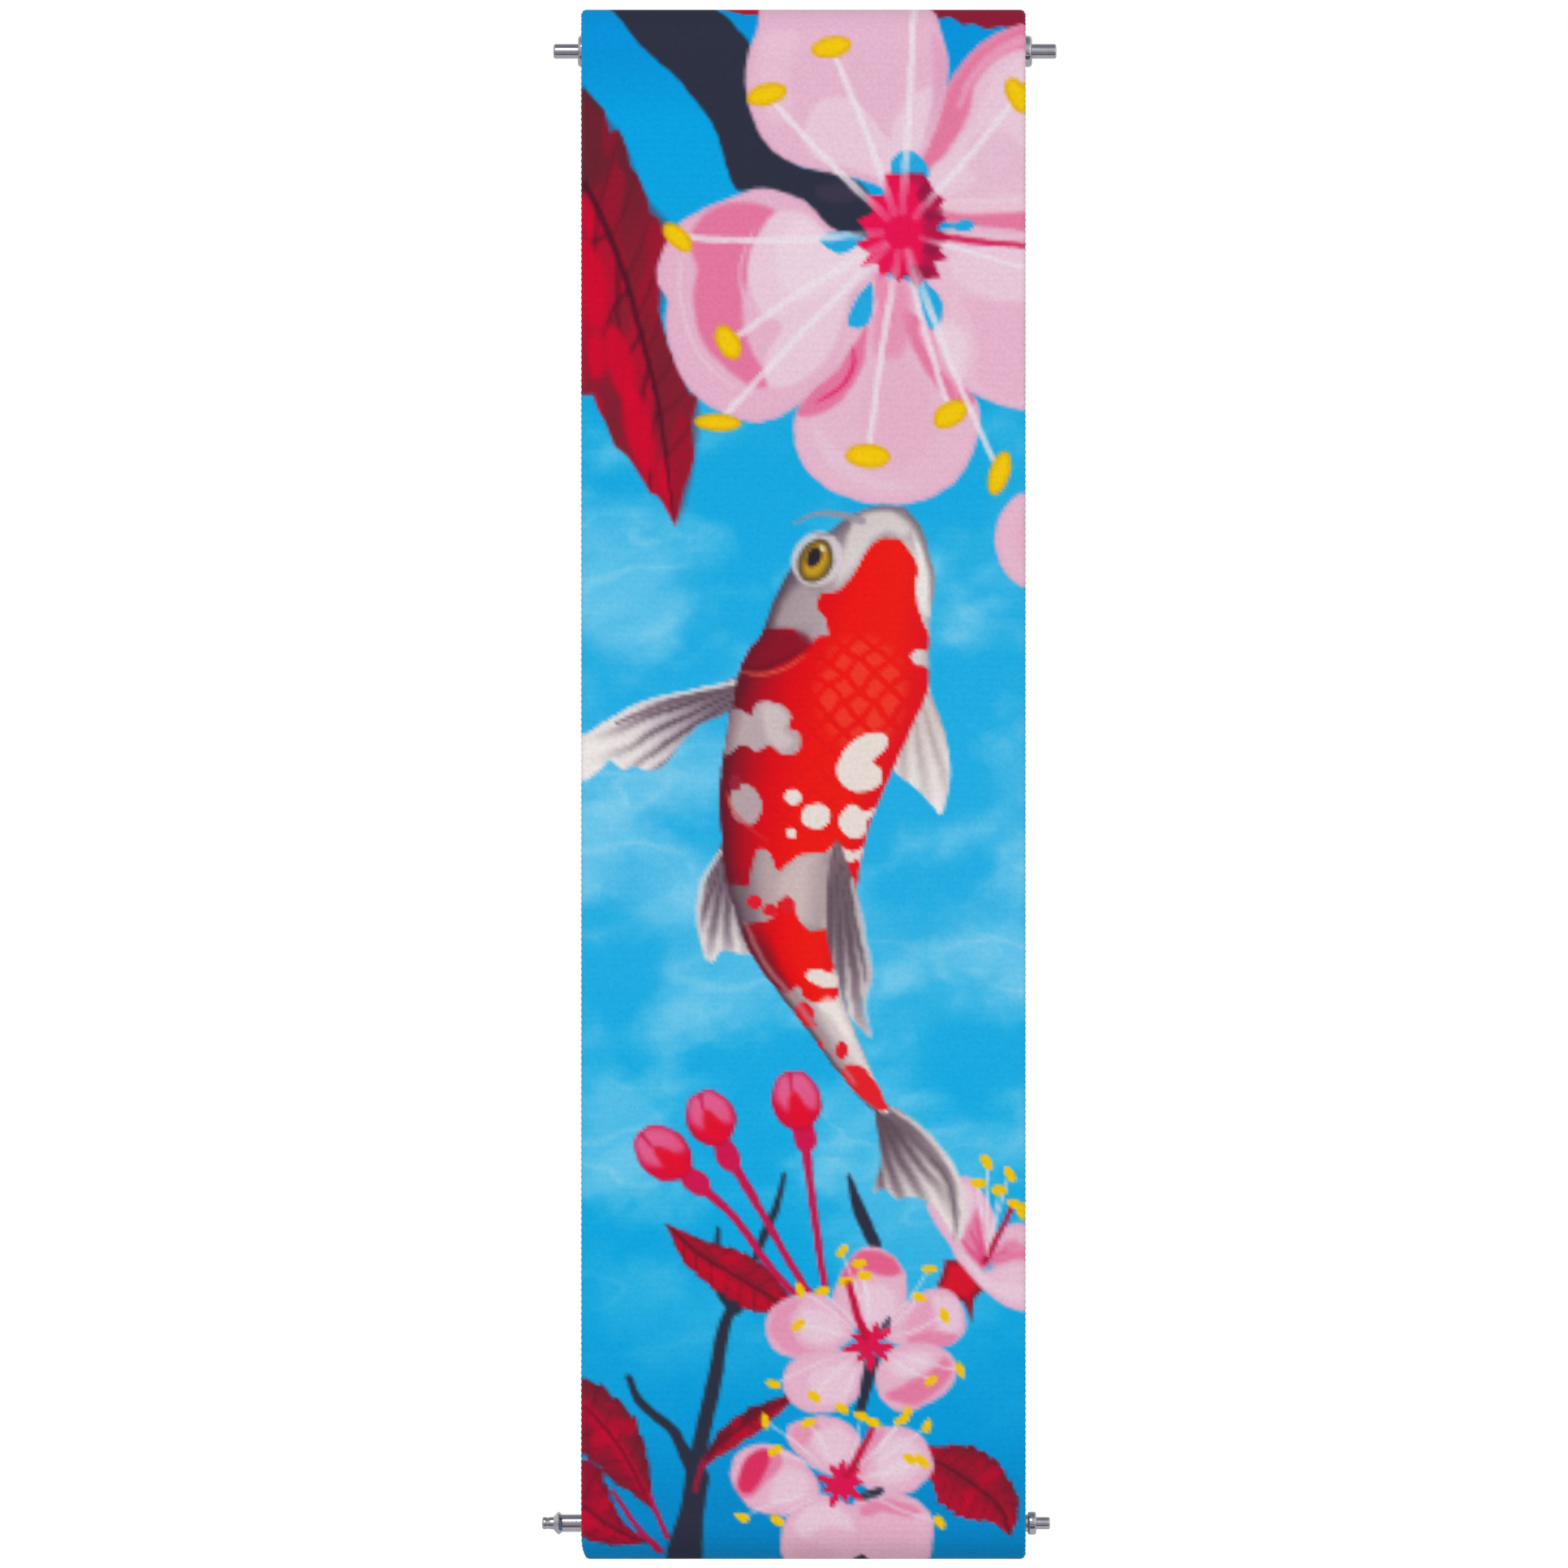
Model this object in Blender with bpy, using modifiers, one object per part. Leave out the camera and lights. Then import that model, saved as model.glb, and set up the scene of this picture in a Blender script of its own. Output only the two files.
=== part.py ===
"""Printed elastic strap on two spring bars.

A length of one-inch elastic webbing is folded back at each end and bonded to itself, so that each
fold is a pocket for a sprung bar. A bar is a rolled steel tube with a coil spring between two
headed pins. Pressing the pins in lets the strap drop between two drilled lugs.

Frame: the origin is the middle of the strap on the upper bar's axis. +X is along the bars to the
viewer's right, -Y is the printed face and +Z is up the strap. Lengths are in metres.
"""

import math

import bmesh
import bpy
from mathutils import Vector

MM = 0.001

# Webbing
WEBBING_WIDTH = 25.4 * MM
WEBBING_THICKNESS = 1.0 * MM
SELVEDGE_ROUNDING = 0.3 * MM
BAR_SPACING = 84.3 * MM
TAIL_BOND_LENGTH = 6.0 * MM
TAIL_LEAN = math.radians(45)
TAIL_BEND_RADIUS = 1.5 * MM
FOLD_STEP = math.radians(15)

# Bond film between the strap and its tail
FILM_THICKNESS = 0.2 * MM
FILM_FACE_GAP = 0.05 * MM
FILM_SIDE_MARGIN = 0.5 * MM
FILM_END_MARGIN = 0.4 * MM

# Upper bar: plain pins, and a tube a little longer than the webbing is wide
UPPER_TUBE_OVERHANG = 0.3 * MM
UPPER_TUBE_DIAMETER = 1.8 * MM
UPPER_TUBE_WALL = 0.25 * MM
UPPER_SHANK_DIAMETER = 0.84 * MM
UPPER_PIN_REACH = 1.36 * MM
UPPER_PIN_CHAMFER = 0.16 * MM
UPPER_BAR_OFFSET = 0.09 * MM
UPPER_POCKET_SLACK = 0.48 * MM

# Lower bar: pins with a collar that a bar tool can grip, and a tube hidden in the webbing
LOWER_TUBE_SETBACK = 0.58 * MM
LOWER_TUBE_DIAMETER = 1.7 * MM
LOWER_TUBE_WALL = 0.16 * MM
LOWER_SHANK_DIAMETER = 1.0 * MM
LOWER_NECK_LENGTH = 1.21 * MM
LOWER_BAR_OFFSET = -0.475 * MM
LOWER_POCKET_SLACK = 0.2 * MM
COLLAR_DIAMETER = 1.32 * MM
COLLAR_LENGTH = 0.47 * MM
COLLAR_EDGE_ROUNDING = 0.08 * MM
CREST_FROM_NECK = 0.21 * MM
TIP_DIAMETER = 0.7 * MM
LEFT_TIP_LENGTH = 0.68 * MM
RIGHT_TIP_LENGTH = 0.79 * MM
TIP_CHAMFER = 0.1 * MM
GROOVE_FROM_END = 0.34 * MM
GROOVE_WIDTH = 0.1 * MM
GROOVE_DEPTH = 0.04 * MM

# Both bars
MOUTH_LENGTH = 0.5 * MM
MOUTH_TAPER = 0.1 * MM
END_ROUNDING = 0.2 * MM
RUNNING_CLEARANCE = 0.05 * MM
SHOULDER_GAP = 0.05 * MM
HEAD_LENGTH = 4.0 * MM
HEAD_CHAMFER = 0.1 * MM
SPRING_SIDE_CLEARANCE = 0.07 * MM
SPRING_END_GAP = 0.05 * MM
WIRE_DIAMETER = 0.2 * MM
SPRING_TURNS = 18
CLOSED_TURNS = 1.5
CLOSED_PITCH = 1.15 * WIRE_DIAMETER

# Facets
ROUND_SIDES = 24
COIL_SIDES_PER_TURN = 10
COIL_WIRE_RESOLUTION = 2
SELVEDGE_SEGMENTS = 2
ROUNDING_STEP = math.radians(30)
COLLAR_STEP = math.radians(45)
CORNER_ANGLE = math.radians(60)
MERGE_DISTANCE = 1e-7

# What fits the webbing, and where things sit
UPPER_TUBE_LENGTH = WEBBING_WIDTH + 2 * UPPER_TUBE_OVERHANG
LOWER_TUBE_LENGTH = WEBBING_WIDTH - 2 * LOWER_TUBE_SETBACK
UPPER_POCKET_RADIUS = UPPER_TUBE_DIAMETER / 2 + UPPER_POCKET_SLACK
LOWER_POCKET_RADIUS = LOWER_TUBE_DIAMETER / 2 + LOWER_POCKET_SLACK
FRONT_PLY_INNER_Y = -UPPER_POCKET_RADIUS
FILM_MIDDLE_Y = FRONT_PLY_INNER_Y + FILM_FACE_GAP + FILM_THICKNESS / 2
TAIL_INNER_Y = FRONT_PLY_INNER_Y + 2 * FILM_FACE_GAP + FILM_THICKNESS
TAIL_MIDDLE_Y = TAIL_INNER_Y + WEBBING_THICKNESS / 2
UPPER_AXIS = Vector((0, 0, 0))
LOWER_AXIS = Vector((0, FRONT_PLY_INNER_Y + LOWER_POCKET_RADIUS, -BAR_SPACING))


def clear_scene():
    for item in list(bpy.data.objects):
        bpy.data.objects.remove(item, do_unlink=True)


def new_material(name, colour, roughness, metallic=0.0):
    material = bpy.data.materials.new(name)
    material.use_nodes = True
    shader = material.node_tree.nodes["Principled BSDF"]
    shader.inputs["Base Color"].default_value = (*colour, 1)
    shader.inputs["Roughness"].default_value = roughness
    shader.inputs["Metallic"].default_value = metallic
    return material


def link(item, material, collection, parent):
    item.data.materials.append(material)
    collection.objects.link(item)
    item.parent = parent


def new_axis(name, place, collection, parent=None):
    """An empty on a joint's axis, whose place is given in the world."""
    axis = bpy.data.objects.new(name, None)
    axis.empty_display_size = 2 * MM
    collection.objects.link(axis)
    axis.parent = parent
    axis.location = place - world_place(parent)
    return axis


def world_place(item):
    place = Vector((0, 0, 0))
    while item is not None:
        place = place + item.location
        item = item.parent
    return place


def arc(centre, radius, start, end, step=FOLD_STEP):
    """Points on an arc. Angles are measured from the first coordinate's axis."""
    count = max(2, math.ceil(abs(end - start) / step))
    points = []
    for i in range(count + 1):
        angle = start + (end - start) * i / count
        points.append((centre[0] + radius * math.cos(angle), centre[1] + radius * math.sin(angle)))
    return points


def fold_path(axis, pocket_radius, way):
    """The webbing's middle line round one pocket as (y, z), from the strap to the tail's end.

    way is 1 for a fold over the top and -1 for one under the bottom. The tail leans in towards
    the strap, bends back and lies along it.
    """
    middle_radius = pocket_radius + WEBBING_THICKNESS / 2
    points = arc((0, 0), middle_radius, math.pi, -TAIL_LEAN)
    across = middle_radius * math.cos(TAIL_LEAN) - (TAIL_MIDDLE_Y - axis.y)
    bend_across = TAIL_BEND_RADIUS * (1 - math.cos(TAIL_LEAN))
    slope = (across - bend_across) / math.sin(TAIL_LEAN)
    bend_start_z = points[-1][1] - slope * math.cos(TAIL_LEAN)
    bend_middle = (
        TAIL_MIDDLE_Y - axis.y + TAIL_BEND_RADIUS,
        bend_start_z - TAIL_BEND_RADIUS * math.sin(TAIL_LEAN),
    )
    points += arc(bend_middle, TAIL_BEND_RADIUS, math.pi - TAIL_LEAN, math.pi)
    bond_start = points[-1]
    points.append((bond_start[0], bond_start[1] - TAIL_BOND_LENGTH))
    return [(axis.y + y, axis.z + way * z) for y, z in points], axis.z + way * bond_start[1]


def ribbon(name, path):
    """A strip of the webbing's width along a (y, z) path, given its thickness by Solidify."""
    mesh = bpy.data.meshes.new(name)
    shape = bmesh.new()
    edge_points = [shape.verts.new((-WEBBING_WIDTH / 2, y, z)) for y, z in path]
    edges = [shape.edges.new(pair) for pair in zip(edge_points, edge_points[1:])]
    swept = bmesh.ops.extrude_edge_only(shape, edges=edges)
    moved = [part for part in swept["geom"] if isinstance(part, bmesh.types.BMVert)]
    bmesh.ops.translate(shape, verts=moved, vec=(WEBBING_WIDTH, 0, 0))
    bmesh.ops.recalc_face_normals(shape, faces=shape.faces)
    shape.to_mesh(mesh)
    shape.free()
    mesh.shade_smooth()
    strip = bpy.data.objects.new(name, mesh)
    thicken = strip.modifiers.new("Thickness", "SOLIDIFY")
    thicken.thickness = WEBBING_THICKNESS
    thicken.offset = 0
    thicken.use_even_offset = True
    rounding = strip.modifiers.new("Selvedge", "BEVEL")
    rounding.limit_method = "ANGLE"
    rounding.angle_limit = CORNER_ANGLE
    rounding.width = SELVEDGE_ROUNDING
    rounding.segments = SELVEDGE_SEGMENTS
    return strip


def bond_film(name, bond_start, way):
    """A flat film between the strap and the bonded length of its tail."""
    length = TAIL_BOND_LENGTH - 2 * FILM_END_MARGIN
    mesh = bpy.data.meshes.new(name)
    shape = bmesh.new()
    bmesh.ops.create_cube(shape, size=1)
    size = (WEBBING_WIDTH - 2 * FILM_SIDE_MARGIN, FILM_THICKNESS, length)
    bmesh.ops.scale(shape, vec=size, verts=shape.verts)
    shape.to_mesh(mesh)
    shape.free()
    film = bpy.data.objects.new(name, mesh)
    film_middle_z = bond_start - way * TAIL_BOND_LENGTH / 2
    return film, Vector((0, FILM_MIDDLE_Y, film_middle_z))


def turned(name, outline, closed=False):
    """A lathe-turned solid about its own Z from (height, radius) points, outer end first."""
    mesh = bpy.data.meshes.new(name)
    points = [(radius, 0, height) for height, radius in outline]
    edges = [(i, i + 1) for i in range(len(points) - 1)]
    if closed:
        edges.append((len(points) - 1, 0))
    mesh.from_pydata(points, edges, [])
    piece = bpy.data.objects.new(name, mesh)
    lathe = piece.modifiers.new("Lathe", "SCREW")
    lathe.angle = 2 * math.pi
    lathe.steps = ROUND_SIDES
    lathe.render_steps = ROUND_SIDES
    lathe.use_merge_vertices = True
    lathe.merge_threshold = MERGE_DISTANCE
    lathe.use_smooth_shade = True
    return piece


def tube_outline(length, diameter, wall, mouth_radius):
    """A tube whose ends are rolled in to a mouth that holds the pins' heads."""
    half = length / 2
    outer = diameter / 2
    inner = outer - wall
    mouth_end = half - MOUTH_LENGTH
    top = arc((half - END_ROUNDING, outer - END_ROUNDING), END_ROUNDING, 0, math.pi / 2, ROUNDING_STEP)
    bottom = [(-height, radius) for height, radius in reversed(top)]
    bore = [
        (-half, mouth_radius),
        (-mouth_end, mouth_radius),
        (-mouth_end + MOUTH_TAPER, inner),
        (mouth_end - MOUTH_TAPER, inner),
        (mouth_end, mouth_radius),
        (half, mouth_radius),
    ]
    return top + bottom + bore


def headed_shank(tube_length, tube_bore, shank_radius):
    """The part of a pin inside its tube: the shank's foot, the shoulder and the guiding head."""
    shoulder = tube_length / 2 - MOUTH_LENGTH - MOUTH_TAPER - SHOULDER_GAP
    head_radius = tube_bore / 2 - RUNNING_CLEARANCE
    return [
        (shoulder, shank_radius),
        (shoulder, head_radius),
        (shoulder - HEAD_LENGTH + HEAD_CHAMFER, head_radius),
        (shoulder - HEAD_LENGTH, head_radius - HEAD_CHAMFER),
        (shoulder - HEAD_LENGTH, 0),
    ]


def plain_pin_outline():
    end = UPPER_TUBE_LENGTH / 2 + UPPER_PIN_REACH
    radius = UPPER_SHANK_DIAMETER / 2
    tip = [
        (end, 0),
        (end, radius - UPPER_PIN_CHAMFER),
        (end - UPPER_PIN_CHAMFER, radius),
    ]
    bore = UPPER_TUBE_DIAMETER - 2 * UPPER_TUBE_WALL
    return tip + headed_shank(UPPER_TUBE_LENGTH, bore, radius)


def collared_pin_outline(tip_length, collar):
    collar_start = LOWER_TUBE_LENGTH / 2 + LOWER_NECK_LENGTH
    collar_end = collar_start + COLLAR_LENGTH
    end = collar_end + tip_length
    radius = TIP_DIAMETER / 2
    tip = [(end, 0), (end, radius - TIP_CHAMFER), (end - TIP_CHAMFER, radius)]
    shank = LOWER_SHANK_DIAMETER / 2
    bore = LOWER_TUBE_DIAMETER - 2 * LOWER_TUBE_WALL
    foot = headed_shank(LOWER_TUBE_LENGTH, bore, shank)
    return tip + collar(end, collar_start, collar_end) + [(collar_start, shank)] + foot


def grooved_tip_and_cone_collar(end, collar_start, collar_end):
    """A collar turned to a sharp crest by two cones, below a groove round the tip."""
    radius = TIP_DIAMETER / 2
    groove = end - GROOVE_FROM_END
    crest = collar_start + CREST_FROM_NECK
    return [
        (groove + GROOVE_WIDTH / 2, radius),
        (groove, radius - GROOVE_DEPTH),
        (groove - GROOVE_WIDTH / 2, radius),
        (collar_end, radius),
        (crest, COLLAR_DIAMETER / 2),
    ]


def round_edged_collar(end, collar_start, collar_end):
    """A collar with square sides and rounded edges."""
    edge = COLLAR_EDGE_ROUNDING
    rim = COLLAR_DIAMETER / 2 - edge
    outer = arc((collar_end - edge, rim), edge, 0, math.pi / 2, COLLAR_STEP)
    inner = arc((collar_start + edge, rim), edge, math.pi / 2, math.pi, COLLAR_STEP)
    return [(collar_end, TIP_DIAMETER / 2)] + outer + inner


def coil_height(turn, length):
    """Height of the wire's middle after so many turns: closed coils at both ends, open between."""
    closed_height = CLOSED_TURNS * CLOSED_PITCH
    open_turns = SPRING_TURNS - 2 * CLOSED_TURNS
    open_pitch = (length - WIRE_DIAMETER - 2 * closed_height) / open_turns
    if turn < CLOSED_TURNS:
        return turn * CLOSED_PITCH
    if turn > SPRING_TURNS - CLOSED_TURNS:
        return length - WIRE_DIAMETER - (SPRING_TURNS - turn) * CLOSED_PITCH
    return closed_height + (turn - CLOSED_TURNS) * open_pitch


def coil_spring(name, tube_length, tube_bore):
    """A round-wire compression spring that fills the space between the two pins' heads."""
    shoulder = tube_length / 2 - MOUTH_LENGTH - MOUTH_TAPER - SHOULDER_GAP
    length = 2 * (shoulder - HEAD_LENGTH - SPRING_END_GAP)
    coil_radius = tube_bore / 2 - SPRING_SIDE_CLEARANCE - WIRE_DIAMETER / 2
    curve = bpy.data.curves.new(name, "CURVE")
    curve.dimensions = "3D"
    curve.bevel_depth = WIRE_DIAMETER / 2
    curve.bevel_resolution = COIL_WIRE_RESOLUTION
    curve.use_fill_caps = True
    wire = curve.splines.new("POLY")
    count = SPRING_TURNS * COIL_SIDES_PER_TURN
    wire.points.add(count)
    for i in range(count + 1):
        turn = i / COIL_SIDES_PER_TURN
        angle = 2 * math.pi * turn
        height = coil_height(turn, length) + (WIRE_DIAMETER - length) / 2
        wire.points[i].co = (coil_radius * math.cos(angle), coil_radius * math.sin(angle), height, 1)
    return bpy.data.objects.new(name, curve)


def lay_along_x(piece, place, facing):
    """Turns a piece made about its own Z so that its outer end points along X."""
    piece.location = place
    piece.rotation_euler = (0, facing * math.pi / 2, 0)


def build_webbing(collection, upper_axis):
    cloth = new_material("printed elastic webbing", (0.0, 0.36, 0.74), 0.85)
    glue = new_material("bond film", (0.8, 0.78, 0.72), 0.45)
    upper_fold, upper_bond = fold_path(UPPER_AXIS, UPPER_POCKET_RADIUS, 1)
    lower_fold, lower_bond = fold_path(LOWER_AXIS, LOWER_POCKET_RADIUS, -1)
    strap = ribbon("strap_webbing", list(reversed(upper_fold)) + lower_fold)
    link(strap, cloth, collection, upper_axis)
    films = (("upper_bond_film", upper_bond, 1), ("lower_bond_film", lower_bond, -1))
    for name, bond_start, way in films:
        film, place = bond_film(name, bond_start, way)
        link(film, glue, collection, upper_axis)
        film.location = place


def build_upper_bar(collection, axis):
    steel = new_material("polished steel, upper bar", (0.62, 0.62, 0.64), 0.2, 1.0)
    wire = new_material("spring wire, upper bar", (0.45, 0.45, 0.47), 0.3, 1.0)
    middle = Vector((UPPER_BAR_OFFSET, 0, 0))
    bore = UPPER_TUBE_DIAMETER - 2 * UPPER_TUBE_WALL
    mouth = UPPER_SHANK_DIAMETER / 2 + RUNNING_CLEARANCE
    outline = tube_outline(UPPER_TUBE_LENGTH, UPPER_TUBE_DIAMETER, UPPER_TUBE_WALL, mouth)
    pieces = (
        (turned("upper_bar_tube", outline, closed=True), steel, 1),
        (coil_spring("upper_bar_spring", UPPER_TUBE_LENGTH, bore), wire, 1),
        (turned("upper_left_pin", plain_pin_outline()), steel, -1),
        (turned("upper_right_pin", plain_pin_outline()), steel, 1),
    )
    for piece, material, facing in pieces:
        link(piece, material, collection, axis)
        lay_along_x(piece, middle, facing)


def build_lower_bar(collection, axis):
    steel = new_material("polished steel, lower bar", (0.62, 0.62, 0.64), 0.2, 1.0)
    wire = new_material("spring wire, lower bar", (0.45, 0.45, 0.47), 0.3, 1.0)
    middle = Vector((LOWER_BAR_OFFSET, 0, 0))
    bore = LOWER_TUBE_DIAMETER - 2 * LOWER_TUBE_WALL
    mouth = LOWER_SHANK_DIAMETER / 2 + RUNNING_CLEARANCE
    outline = tube_outline(LOWER_TUBE_LENGTH, LOWER_TUBE_DIAMETER, LOWER_TUBE_WALL, mouth)
    left = collared_pin_outline(LEFT_TIP_LENGTH, grooved_tip_and_cone_collar)
    right = collared_pin_outline(RIGHT_TIP_LENGTH, round_edged_collar)
    pieces = (
        (turned("lower_bar_tube", outline, closed=True), steel, 1),
        (coil_spring("lower_bar_spring", LOWER_TUBE_LENGTH, bore), wire, 1),
        (turned("lower_left_pin", left), steel, -1),
        (turned("lower_right_pin", right), steel, 1),
    )
    for piece, material, facing in pieces:
        link(piece, material, collection, axis)
        lay_along_x(piece, middle, facing)


def main():
    clear_scene()
    collection = bpy.data.collections.new("printed_elastic_strap")
    bpy.context.scene.collection.children.link(collection)
    upper_axis = new_axis("upper_bar_axis", UPPER_AXIS, collection)
    webbing_axis = new_axis("webbing_swing_axis", UPPER_AXIS, collection, upper_axis)
    lower_axis = new_axis("lower_bar_axis", LOWER_AXIS, collection, webbing_axis)
    build_webbing(collection, webbing_axis)
    build_upper_bar(collection, upper_axis)
    build_lower_bar(collection, lower_axis)


main()
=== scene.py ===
# %% [markdown]
# # Printed elastic strap on two spring bars
#
# The strap is one length of inch-wide elastic webbing, folded round a spring bar at each end, with a koi
# under cherry blossom printed on it. This file dresses the CAD model. The webbing, its print and its
# selvedges are modelled again, finer than the CAD has them, and so are the small turned steel parts.
# %% Load the CAD frame
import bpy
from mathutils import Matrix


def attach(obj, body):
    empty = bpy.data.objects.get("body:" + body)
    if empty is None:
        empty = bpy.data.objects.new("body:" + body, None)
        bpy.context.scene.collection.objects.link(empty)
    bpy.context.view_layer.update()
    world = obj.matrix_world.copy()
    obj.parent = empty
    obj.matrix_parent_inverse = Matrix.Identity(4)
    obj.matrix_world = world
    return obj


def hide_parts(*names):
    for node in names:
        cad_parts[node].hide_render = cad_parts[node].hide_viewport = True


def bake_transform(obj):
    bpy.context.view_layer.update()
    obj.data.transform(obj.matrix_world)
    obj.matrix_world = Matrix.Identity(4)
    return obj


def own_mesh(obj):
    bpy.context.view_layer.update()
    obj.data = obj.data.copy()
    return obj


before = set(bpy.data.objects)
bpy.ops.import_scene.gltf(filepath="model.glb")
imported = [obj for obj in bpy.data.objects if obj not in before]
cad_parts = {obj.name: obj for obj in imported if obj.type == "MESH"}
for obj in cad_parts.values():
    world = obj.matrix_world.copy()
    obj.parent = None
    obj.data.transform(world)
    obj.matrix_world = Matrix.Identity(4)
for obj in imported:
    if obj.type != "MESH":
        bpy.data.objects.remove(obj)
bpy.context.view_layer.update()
# %% Lengths in millimetres
import math
import bpy
import numpy as np
from mathutils import Vector
MM = 0.001
scene = bpy.context.scene
print("one unit of length here is", MM, "m")

# %% [markdown]
# ## Viewpoint
# A very long lens from two metres away shows almost no perspective, as a catalogue picture has it. The
# camera looks
# squarely at the printed face. It is made first, so that every later step can be looked at.
# %% Camera
LENS = 800.0
SENSOR = 36.0
SEEN_WIDTH = 89.71
MIDDLE = (-1.11, -41.97)
PRINTED_FACE = -2.38
distance = SEEN_WIDTH * LENS / SENSOR
camera = bpy.data.objects.new("camera", bpy.data.cameras.new("camera"))
scene.collection.objects.link(camera)
camera.data.lens = LENS
camera.data.sensor_width = SENSOR
camera.location = (MIDDLE[0] * MM, (PRINTED_FACE - distance) * MM, MIDDLE[1] * MM)
camera.rotation_euler = (math.pi / 2, 0, 0)
camera.data.clip_start = 0.01
camera.data.clip_end = 20
scene.camera = camera
print("camera", round(distance), "mm from the print")

# %% [markdown]
# ## Colour and materials
# A hex colour is written for a screen, and Blender mixes light in linear numbers, so one function turns the
# one into the other. One small helper adds a shader node and sets its inputs, and it serves every finish.
# %% Colour helpers
def code(hexes):
    """The red, green and blue of a hex colour, from 0 to 1, as a screen shows them."""
    return np.array([int(hexes[n : n + 2], 16) for n in (1, 3, 5)]) / 255

def to_linear(shown):
    """Screen colours as the linear numbers that light is counted in."""
    return np.where(shown <= 0.04045, shown / 12.92, ((shown + 0.055) / 1.055) ** 2.4)

def linear(hexes):
    return to_linear(code(hexes))

print("mid grey is", linear("#808080").round(3), "in linear numbers")
# %% Node helper
def add(tree, kind, settings=None, **inputs):
    """A new node, with its settings, and its inputs set to values or linked from sockets."""
    made = tree.nodes.new(kind)
    for name, value in (settings or {}).items():
        setattr(made, name, value)
    for name, value in inputs.items():
        key = int(name[1:]) if name[0] == "i" and name[1:].isdigit() else name.replace("_", " ")
        socket = made.inputs[key]
        if isinstance(value, bpy.types.NodeSocket):
            tree.links.new(value, socket)
        else:
            socket.default_value = value
    return made

print("node helper ready")
# %% Material helper
def material(name):
    """An empty material with its output and a principled shader."""
    made = bpy.data.materials.new(name)
    made.use_nodes = True
    tree = made.node_tree
    tree.nodes.clear()
    shader = add(tree, "ShaderNodeBsdfPrincipled")
    add(tree, "ShaderNodeOutputMaterial", Surface=shader.outputs[0])
    return made, tree, shader

print("material helper ready")
# %% Colour as a shader value
def rgba(hexes):
    return (*linear(hexes), 1.0)

print("white as a shader value:", rgba("#FFFFFF"))

# %% [markdown]
# ## Floor and light
# The light is a plain soft studio: a pale surround, one large soft lamp high in front, and a weaker one on
# the right. The camera sees the surround as plain white. The floor lies well below. Two grey cards lie on it
# in front. They are seen only in mirrors: polished steel shows what stands around it, and without something
# dark it would look like white paper. They throw no shadow, and the camera never sees them.
# %% Surround
world = bpy.data.worlds.new("pale_surround")
scene.world = world
world.use_nodes = True
tree = world.node_tree
tree.nodes.clear()
where = add(tree, "ShaderNodeTexCoord").outputs["Generated"]
height = add(tree, "ShaderNodeSeparateXYZ", Vector=where).outputs["Z"]
level = add(tree, "ShaderNodeMapRange", Value=height, From_Min=-1.0, From_Max=1.0).outputs[0]
ramp = add(tree, "ShaderNodeValToRGB", Fac=level)
for spot, glow in ((0.45, 0.6), (0.55, 0.8), (0.66, 1.0), (0.8, 1.0), (0.9, 0.55)):
    ramp.color_ramp.elements.new(spot).color = (glow, glow, glow, 1)
ramp.color_ramp.elements[0].color = (0.5, 0.5, 0.5, 1)
ramp.color_ramp.elements[-1].color = (0.35, 0.35, 0.36, 1)
lit = add(tree, "ShaderNodeBackground", Color=ramp.outputs[0], Strength=0.8)
seen = add(tree, "ShaderNodeBackground", Color=(1, 1, 1, 1), Strength=1.0)
ray = add(tree, "ShaderNodeLightPath").outputs["Is Camera Ray"]
both = add(tree, "ShaderNodeMixShader", i0=ray, i1=lit.outputs[0], i2=seen.outputs[0])
add(tree, "ShaderNodeOutputWorld", Surface=both.outputs[0])
scene.view_settings.view_transform = "Standard"
print("surround made")
# %% Lamps
def lamp(name, place, size, power):
    light = bpy.data.lights.new(name, "AREA")
    light.size = size
    light.energy = power
    holder = bpy.data.objects.new(name, light)
    scene.collection.objects.link(holder)
    holder.location = place
    aim = np.array([0, 0, -0.042]) - np.array(place)
    holder.rotation_euler = Vector(aim).to_track_quat("-Z", "Y").to_euler()
    return holder

key = lamp("key", (-0.17, -0.68, 0.42), 0.3, 2.5)
fill = lamp("fill", (0.6, -0.4, 0.1), 0.5, 0.5)
print("lamps:", key.name, key.data.energy, "W and", fill.name, fill.data.energy, "W")
# %% Floor and cards
def flat_card(name, size, place, colour):
    x, y = size[0] / 2, size[1] / 2
    mesh = bpy.data.meshes.new(name)
    mesh.from_pydata([(-x, -y, 0), (x, -y, 0), (x, y, 0), (-x, y, 0)], [], [(0, 1, 2, 3)])
    made = bpy.data.objects.new(name, mesh)
    scene.collection.objects.link(made)
    made.location = place
    paint, tree, shader = material(name + "_paint")
    spot = add(tree, "ShaderNodeTexCoord").outputs["Object"]
    grain = add(tree, "ShaderNodeTexNoise", Vector=spot, Scale=40.0).outputs["Fac"]
    mix = add(tree, "ShaderNodeMix", {"data_type": "RGBA"}, Factor=grain)
    mix.inputs[6].default_value = rgba(colour)
    mix.inputs[7].default_value = (*(linear(colour) * 0.94), 1)
    tree.links.new(mix.outputs[2], shader.inputs["Base Color"])
    shader.inputs["Roughness"].default_value = 0.8
    mesh.materials.append(paint)
    return made

FLOOR = -0.3
floor = flat_card("floor", (2.4, 2.4), (0, 0, FLOOR), "#F4F4F2")
near_card = flat_card("near_card", (1.2, 0.3), (0, -0.29, FLOOR + 0.001), "#75686E")
far_card = flat_card("far_card", (1.2, 0.4), (0, -0.8, FLOOR + 0.001), "#75686E")
for card in (near_card, far_card):
    card.visible_camera = False
    card.visible_diffuse = False
    card.visible_shadow = False
print("floor", round(FLOOR * 1000), "mm")

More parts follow.
